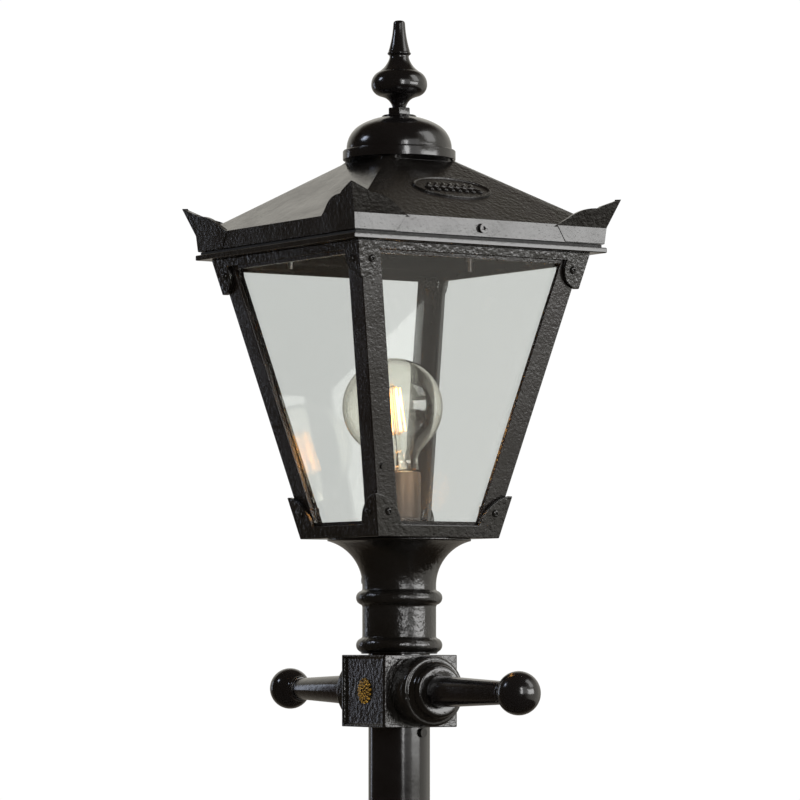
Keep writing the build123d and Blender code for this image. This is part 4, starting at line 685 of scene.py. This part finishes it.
def plain_skin(name, tint, roughness, metallic=1.0):
    """An unpainted surface whose gloss is a little uneven, metal unless `metallic` is 0."""
    material, tree, place, output = blank_material(name)
    grains = add_node(tree, "ShaderNodeTexNoise", {"Vector": place, "Scale": 1 / (2.5 * MM), "Detail": 3.0})
    uneven = add_node(tree, "ShaderNodeMapRange", {"Value": grains.outputs["Fac"], "To Min": roughness * 0.7,
                                                   "To Max": roughness * 1.4})
    shader = add_node(tree, "ShaderNodeBsdfPrincipled", {"Base Color": linear(tint), "Metallic": metallic,
                                                         "Roughness": uneven.outputs["Result"]})
    tree.links.new(shader.outputs["BSDF"], output.inputs["Surface"])
    return material


# Pale bluish grey with a soft, cloudy shine.
zinc = plain_skin("zinc_plated_steel", "#B9BCBE", 0.35)
skin_cad(zinc, 0.0, "board_screws", "tray_bolts", "plate_screws", "dome_bridge", "centre_rod", "rod_nuts",
         "holder_stand", "door_hinge_pins", "roof_hinge_pin", "lock_barrel", "lock_spindle", "lock_cam")

# ---- Gaskets and glands -----------------------------------------------------------------------
# Seals under the door and the roof, and the glands of the terminal box. Black rubber, dull all over.

rubber = plain_skin("black_rubber", "#161616", 0.7, 0.0)
skin_cad(rubber, 0.0, "door_gasket", "roof_gasket", "cable_glands")

# ---- Terminal box -----------------------------------------------------------------------------
# A moulded grey box with a lid, screwed to a brown resin board in the foot. Both are half dull, and
# both keep their CAD shape.

grey_box = plain_skin("grey_moulded_plastic", "#A9ABAD", 0.5, 0.0)
board = plain_skin("resin_board", "#7A5230", 0.6, 0.0)
skin_cad(grey_box, 0.0, "terminal_box", "terminal_box_lid")
skin_cad(board, 0.0, "terminal_board")

# ---- Glazing rails ----------------------------------------------------------------------------
# Strips under and over the panes that close the gaps to the rings. Cast and painted like the bars.

skin_cad(bar_paint, 0.0, "glazing_rails")

# ---- Bulb cap ---------------------------------------------------------------------------------
# The bulb's screw cap, inside the lampholder. Nickelled brass, pale and bright with a warm cast.

cap_metal = plain_skin("nickelled_brass", "#CBBF9A", 0.28)
skin_cad(cap_metal, 0.0, "bulb_cap")

# ---- Lampholder -------------------------------------------------------------------------------
# A plain sleeve round the screw socket, turned from brass and bronzed a dull brown, satin, with the
# faint rings of the turning tool. Its colour is painted darker toward its foot, as painted shade.

bronzed, tree, place, output = blank_material("bronzed_turned_brass")
rings = add_node(tree, "ShaderNodeSeparateXYZ", {0: place}).outputs["Z"]
ring_noise = add_node(tree, "ShaderNodeTexNoise", {"W": rings, "Scale": 1 / (1.6 * MM), "Detail": 2.0},
                      noise_dimensions="1D")
tooling = add_node(tree, "ShaderNodeBump", {"Height": ring_noise.outputs["Fac"], "Distance": 0.02 * MM,
                                            "Strength": 1.0})
# Painted shade: the brown is ramped darker toward the sleeve's foot and lighter toward its top.
painted_shade_by_height = add_node(tree, "ShaderNodeMapRange", {"Value": rings, "From Min": LANTERN + 16 * MM,
                                             "From Max": LANTERN + 60 * MM})
bronze = add_node(tree, "ShaderNodeValToRGB", {"Fac": painted_shade_by_height.outputs["Result"]})
bronze.color_ramp.elements[0].color = linear("#3A2E25")
bronze.color_ramp.elements[1].color = linear("#5A4632")
shader = add_node(tree, "ShaderNodeBsdfPrincipled", {"Base Color": bronze.outputs["Color"], "Metallic": 0.55,
                                                     "Roughness": 0.42,
                                                     "Normal": tooling.outputs["Normal"]})
tree.links.new(shader.outputs["BSDF"], output.inputs["Surface"])
HOLDER_FOOT, HOLDER_TOP, HOLDER_R = 14.0, 65.3, 20.0
HOLDER_BORE = 13.5
sleeve = [(HOLDER_BORE, HOLDER_FOOT), (19.2, HOLDER_FOOT), (HOLDER_R, HOLDER_FOOT + 0.8), (HOLDER_R, 20.0),
          (19.5, 20.4), (19.5, 21.2), (HOLDER_R, 21.6), (HOLDER_R, HOLDER_TOP - 1.0)]
sleeve += through((HOLDER_R, HOLDER_TOP - 1.0), (19.7, HOLDER_TOP - 0.3), (19.0, HOLDER_TOP), 4)[1:]
sleeve += [(HOLDER_BORE, HOLDER_TOP)]
finished(placed(turned(sleeve), z=LANTERN), "holder_sleeve", "post", bronzed, "bronze_holder", "lampholder")

# ---- Bulb -------------------------------------------------------------------------------------
# A 95 mm globe of clear blown glass on a screw cap, lit. Six straight filaments stand in a ring round
# a glass stem on thin support wires. Hand-blown glass has faint waves that break up what is behind.

GLOBE_R, GLOBE_MIDDLE, GLASS_WALL = 47.6, 129.0, 0.9
NECK_R, GLOBE_FOOT = 18.3, 66.2
# The blown globe is cemented into its cap a few degrees off upright, toward the front left corner.
off_upright = (Matrix.Translation((0, 0, GLOBE_FOOT * MM)) @
               Matrix.Rotation(radians(5.5), 4, Vector((0.836, -0.549, 0))) @
               Matrix.Translation((0, 0, -GLOBE_FOOT * MM)))
clear_blown = clear_glass("clear_blown_glass", "#FBFAF4", 0.0, 13.0, 0.05)


def globe_line(inset):
    """The globe's profile moved in by `inset`, from its foot to its crown."""
    join = (GLOBE_R - inset) * sin(radians(45))
    line = [(NECK_R - inset, GLOBE_FOOT + inset)]
    line += through((NECK_R - inset, 74.0), (19.6 - inset, 80.0), (24.4 - inset, 86.4), 8)
    line += through((join, GLOBE_MIDDLE - join), (GLOBE_R - inset, GLOBE_MIDDLE),
                    (0, GLOBE_MIDDLE + GLOBE_R - inset), 44)
    return line


globe = turned(globe_line(0.0) + globe_line(GLASS_WALL)[::-1] +
               [(8.0, GLOBE_FOOT + GLASS_WALL), (8.0, GLOBE_FOOT)], 128)
placed(globe, z=LANTERN, turn=off_upright)
glass_piece = finished(globe, "blown_globe", "bulb", clear_blown, "bulb_glass", "bulb_glass")
glass_piece.visible_shadow = False
FILAMENT_FOOT, FILAMENT_LONG, CAGE_R = 105.0, 42.0, 9.0
stem = [(0, GLOBE_FOOT + 1.0), (7.4, GLOBE_FOOT + 1.0), (7.0, GLOBE_FOOT + 4.0), (4.8, GLOBE_FOOT + 12.0),
        (3.4, GLOBE_FOOT + 20.0), (3.2, 96.0), (4.4, 100.5), (3.6, 103.0), (1.1, 105.0), (1.1, 148.0),
        (2.0, 149.4), (1.6, 151.0), (0, 151.4)]
stem_bm = placed(turned(stem, 48), z=LANTERN, turn=off_upright)
stem_piece = finished(stem_bm, "glass_stem", "bulb", clear_blown, "bulb_glass", "bulb_stem")
stem_piece.visible_shadow = False

glow, tree, place, output = blank_material("lit_filament_coating")
shader = add_node(tree, "ShaderNodeBsdfPrincipled", {"Base Color": linear("#F2B45A"), "Roughness": 0.5,
                                                     "Emission Color": linear("#FFC070"),
                                                     "Emission Strength": 8.0})
tree.links.new(shader.outputs["BSDF"], output.inputs["Surface"])
FILAMENT_R, WIRE_R = 0.9, 0.25
filaments, wires = bmesh.new(), bmesh.new()
for number in range(6):
    around = Matrix.Rotation(number * pi / 3, 4, "Z")
    foot_at = Vector((CAGE_R, 0, FILAMENT_FOOT))
    head_at = Vector((CAGE_R - 1.6, 0, FILAMENT_FOOT + FILAMENT_LONG))
    runs = [(filaments, foot_at, head_at, FILAMENT_R),
            (wires, Vector((2.0, 0, 101.5)), foot_at + Vector((0, 0, 1)), WIRE_R),
            (wires, Vector((1.2, 0, 149.6)), head_at - Vector((0, 0, 1)), WIRE_R)]
    for bm, start, end, radius in runs:
        rod = bmesh.ops.create_cone(bm, cap_ends=True, segments=12, radius1=radius * MM, radius2=radius * MM,
                                    depth=(end - start).length * MM)["verts"]
        lean = (end - start).to_track_quat("Z", "Y").to_matrix().to_4x4()
        bmesh.ops.transform(bm, matrix=around @ Matrix.Translation((start + end) / 2 * MM) @ lean, verts=rod)
for bm in (filaments, wires):
    placed(bm, z=LANTERN, turn=off_upright)
finished(filaments, "filament_sticks", "bulb", glow, "filament", "bulb_filaments")
finished(wires, "support_wires", "bulb", cap_metal, "cap_brass")

# ---- Rosettes ---------------------------------------------------------------------------------
# A small cast lion's head in the middle of the block's front and back faces. Gilded over black
# paint: gold on its raised parts, black in its hollows and in random worn patches.

gilding, tree, place, output = blank_material("gilding_over_black_enamel")
worn = add_node(tree, "ShaderNodeTexNoise", {"Vector": place, "Scale": 1 / (2.2 * MM), "Detail": 3.0})
crest = add_node(tree, "ShaderNodeNewGeometry").outputs["Pointiness"]
hollow = add_node(tree, "ShaderNodeMapRange", {"Value": crest, "From Min": 0.48, "From Max": 0.60})
kept = add_node(tree, "ShaderNodeMath", {0: hollow.outputs["Result"], 1: worn.outputs["Fac"]},
                operation="MULTIPLY")
gold_tone = add_node(tree, "ShaderNodeValToRGB", {"Fac": kept.outputs["Value"]})
gold_tone.color_ramp.elements[0].position = 0.10
gold_tone.color_ramp.elements[0].color = linear("#1A1108")
gold_tone.color_ramp.elements[1].position = 0.34
gold_tone.color_ramp.elements[1].color = linear("#F0B848")
shader = add_node(tree, "ShaderNodeBsdfPrincipled", {"Base Color": gold_tone.outputs["Color"], "Metallic": 0.45,
                                                     "Roughness": 0.30})
tree.links.new(shader.outputs["BSDF"], output.inputs["Surface"])


def lion_head():
    """A lion's head in low relief, 25 mm across, that faces +Z with its crown toward +Y, in mm."""
    bm = bmesh.new()
    lumps = [(0, 0, 0.0, 9.4, 9.4, 1.6, 0)]
    for count, out, long, wide, high, skew in ((15, 9.6, 3.2, 1.5, 1.5, 16), (13, 7.2, 2.9, 1.35, 2.4, -12),
                                               (11, 5.2, 2.2, 1.1, 3.1, 14)):
        for k in range(count):
            turn = 360 / count * (k + 0.5 * (count % 2)) + 90
            x, y = out * cos(radians(turn)), out * sin(radians(turn))
            lumps.append((x, y, high - 0.9, long, wide, 1.5, turn + skew))
    lumps += [(0, 0.2, 2.2, 4.2, 4.9, 2.2, 0), (0, 1.6, 4.0, 0.9, 2.6, 1.1, 0),
              (0, -0.9, 4.6, 1.3, 0.8, 0.8, 0)]
    for side in (-1, 1):
        lumps += [(side * 1.8, 2.5, 3.9, 1.5, 0.7, 0.7, side * -14),
                  (side * 1.35, -2.3, 3.9, 1.5, 1.25, 1.2, 0),
                  (side * 4.4, 4.6, 2.8, 1.2, 1.5, 0.9, side * -30),
                  (side * 2.9, -0.3, 3.4, 1.2, 1.5, 0.9, 0)]
    lumps += [(0, -4.2, 3.2, 1.6, 0.9, 1.0, 0)]
    for x, y, z, a, b, c, turn in lumps:
        lump = bmesh.ops.create_icosphere(bm, subdivisions=3, radius=1.0)["verts"]
        bmesh.ops.scale(bm, vec=(a * MM, b * MM, c * MM), verts=lump)
        bmesh.ops.rotate(bm, cent=(0, 0, 0), matrix=Matrix.Rotation(radians(turn), 3, "Z"), verts=lump)
        bmesh.ops.translate(bm, vec=(x * MM, y * MM, z * MM), verts=lump)
    return bm


for turn, name in ((0, "front"), (pi, "back")):
    face_out = Matrix.Rotation(askew + turn, 4, "Z") @ Matrix.Translation((0, -(block_half - RECESS) * MM, 0))
    lion = placed(lion_head(), z=arm_level, turn=face_out @ Matrix.Rotation(pi / 2, 4, "X"))
    lion_piece = finished(lion, f"lion_{name}", "post", gilding, "gilt", f"rosette_{name}")
    cast = lion_piece.modifiers.new("cast in one", "REMESH")
    cast.mode = "VOXEL"
    cast.voxel_size = 0.3 * MM
    cast.use_smooth_shade = True
    lion_piece.modifiers.move(1, 0)
    melt = lion_piece.modifiers.new("softened", "SMOOTH")
    melt.iterations = 2
    lion_piece.modifiers.move(2, 1)

# ---- Studio -----------------------------------------------------------------------------------
# A pale floor, soft lights, and a room that is white to the lens but dimmer and warmer in reflections.
# None of it belongs to the object.

floor_bm = bmesh.new()
bmesh.ops.create_circle(floor_bm, cap_ends=True, segments=64, radius=28.0)
floor_mesh = bpy.data.meshes.new("floor")
floor_bm.to_mesh(floor_mesh)
floor_bm.free()
floor = bpy.data.objects.new("floor", floor_mesh)
bpy.context.scene.collection.objects.link(floor)
floor_material, tree, place, output = blank_material("pale_floor")
shader = add_node(tree, "ShaderNodeBsdfPrincipled", {"Base Color": linear("#F6F6F5"), "Roughness": 0.9})
tree.links.new(shader.outputs["BSDF"], output.inputs["Surface"])
floor_mesh.materials.append(floor_material)
floor.visible_glossy = False

CAMERA_TURN = radians(56.7)
toward = Vector((sin(CAMERA_TURN), -cos(CAMERA_TURN), 0))  # from the post to the camera
rightward = Vector((cos(CAMERA_TURN), sin(CAMERA_TURN), 0))

world = bpy.data.worlds.new("studio")
bpy.context.scene.world = world
world.use_nodes = True
tree = world.node_tree
tree.nodes.clear()
direction = add_node(tree, "ShaderNodeTexCoord").outputs["Generated"]
behind = add_node(tree, "ShaderNodeVectorMath", {0: direction, 1: -toward}, operation="DOT_PRODUCT")
beside = add_node(tree, "ShaderNodeVectorMath", {0: direction, 1: rightward}, operation="DOT_PRODUCT")
height = add_node(tree, "ShaderNodeSeparateXYZ", {0: direction}).outputs["Z"]
# The wall behind is seen only in grazing reflections: dim near the floor, brightest half way up.
wall = add_node(tree, "ShaderNodeMapRange", {"Value": behind.outputs["Value"], "From Min": 0.45,
                                             "From Max": 0.85}, interpolation_type="SMOOTHSTEP")
level = add_node(tree, "ShaderNodeMapRange", {"Value": height, "From Min": -1.0, "From Max": 1.0})
rise = add_node(tree, "ShaderNodeValToRGB", {"Fac": level.outputs["Result"]})
stops = rise.color_ramp.elements
for position, grey in ((0.40, 0.28), (0.50, 0.42), (0.75, 1.00), (0.80, 0.62), (0.88, 0.20), (1.0, 0.14)):
    stop = stops.new(position)
    stop.color = (grey, grey, grey, 1.0)
stops.remove(stops[0])
stops.remove(stops[-1])
side = add_node(tree, "ShaderNodeMapRange", {"Value": beside.outputs["Value"], "From Min": 0.45,
                                             "From Max": 0.95, "To Min": 0.0, "To Max": 1.05},
                interpolation_type="SMOOTHSTEP")
above_skirting = add_node(tree, "ShaderNodeMapRange", {"Value": height, "From Min": -0.48, "From Max": -0.37},
                          interpolation_type="SMOOTHSTEP")
side_light = add_node(tree, "ShaderNodeMath", {0: side.outputs["Result"], 1: above_skirting.outputs["Result"],
                                               2: 0.10}, operation="MULTIPLY_ADD")
wall_light = add_node(tree, "ShaderNodeMath", {0: wall.outputs["Result"], 1: rise.outputs["Color"]},
                      operation="MULTIPLY")
room = add_node(tree, "ShaderNodeMath", {0: wall_light.outputs["Value"], 1: side_light.outputs["Value"]},
                operation="ADD")
tone = add_node(tree, "ShaderNodeValToRGB", {"Fac": room.outputs["Value"]})
tone.color_ramp.elements[0].color = linear("#A07A45")
tone.color_ramp.elements[1].color = linear("#F4F0E6")
tone.color_ramp.elements[1].position = 0.55
reflected = add_node(tree, "ShaderNodeBackground", {"Color": tone.outputs["Color"],
                                                    "Strength": room.outputs["Value"]})
white = add_node(tree, "ShaderNodeBackground", {"Color": linear("#FFFFFF"), "Strength": 1.02})
path = add_node(tree, "ShaderNodeLightPath")
# What any reflection sees is this room, through glass too. Everything else sees plain white.
mirrored = add_node(tree, "ShaderNodeMath", {0: path.outputs["Glossy Depth"], 1: 0.5},
                    operation="GREATER_THAN")
mixed = add_node(tree, "ShaderNodeMixShader", {0: mirrored.outputs["Value"], 1: white.outputs["Background"],
                                               2: reflected.outputs["Background"]})
add_node(tree, "ShaderNodeOutputWorld", {"Surface": mixed.outputs["Shader"]})


def softbox(name, turn, rise, distance, width, height, brightness, tint="#FFFFFF"):
    """A soft area light seen `turn` degrees to the camera's right and `rise` degrees up from the lantern."""
    target = Vector((0, 0, 1.85))
    a, e = radians(turn), radians(rise)
    toward_light = (toward * cos(a) + rightward * sin(a)) * cos(e) + Vector((0, 0, sin(e)))
    light = bpy.data.lights.new(name, "AREA")
    light.shape = "RECTANGLE"
    light.size = width
    light.size_y = height
    light.energy = brightness * pi * width * height
    light.color = linear(tint)[:3]
    lamp = bpy.data.objects.new(name, light)
    lamp.location = target + toward_light * distance
    lamp.rotation_euler = (-toward_light).to_track_quat("-Z", "Y").to_euler()
    lamp.visible_camera = False
    bpy.context.scene.collection.objects.link(lamp)


softbox("window_right", 64, 3, 3.0, 1.9, 1.05, 8.0)
softbox("strip_front", 15, 8, 3.0, 0.36, 1.6, 12.0)
softbox("room_front", 26, 10, 3.2, 2.2, 2.0, 1.4)
softbox("skylight_right", 76, 37, 3.0, 1.2, 1.8, 3.2)
softbox("window_left", -88, 30, 3.0, 0.50, 0.55, 12.0, "#DFEAFF")
softbox("strip_left", -128, 2, 3.0, 0.30, 1.2, 2.6, "#DFEAFF")

# The lit bulb: its own warm light on the insides of the bars.
bulb_light = bpy.data.lights.new("bulb_light", "POINT")
bulb_light.energy = 1.1
bulb_light.color = linear("#FFB45E")[:3]
bulb_light.shadow_soft_size = 0.012
bulb_lamp = bpy.data.objects.new("bulb_light", bulb_light)
bulb_lamp.location = (0, 0, LANTERN + 126 * MM)
bulb_lamp.visible_camera = False
bulb_lamp.visible_transmission = False
bpy.context.scene.collection.objects.link(bulb_lamp)

# The lens looks level from the height of the ladder block, so the picture is shifted up to take in
# the finial.
camera_data = bpy.data.cameras.new("camera")
camera_data.lens = 188.4
camera_data.shift_y = 0.298
camera_data.shift_x = 0.001
camera = bpy.data.objects.new("camera", camera_data)
camera.location = toward * 4.08 + Vector((0, 0, 1.636))
camera.rotation_euler = (pi / 2, 0, CAMERA_TURN)
bpy.context.scene.collection.objects.link(camera)
bpy.context.scene.camera = camera
bpy.context.scene.view_settings.view_transform = "Standard"
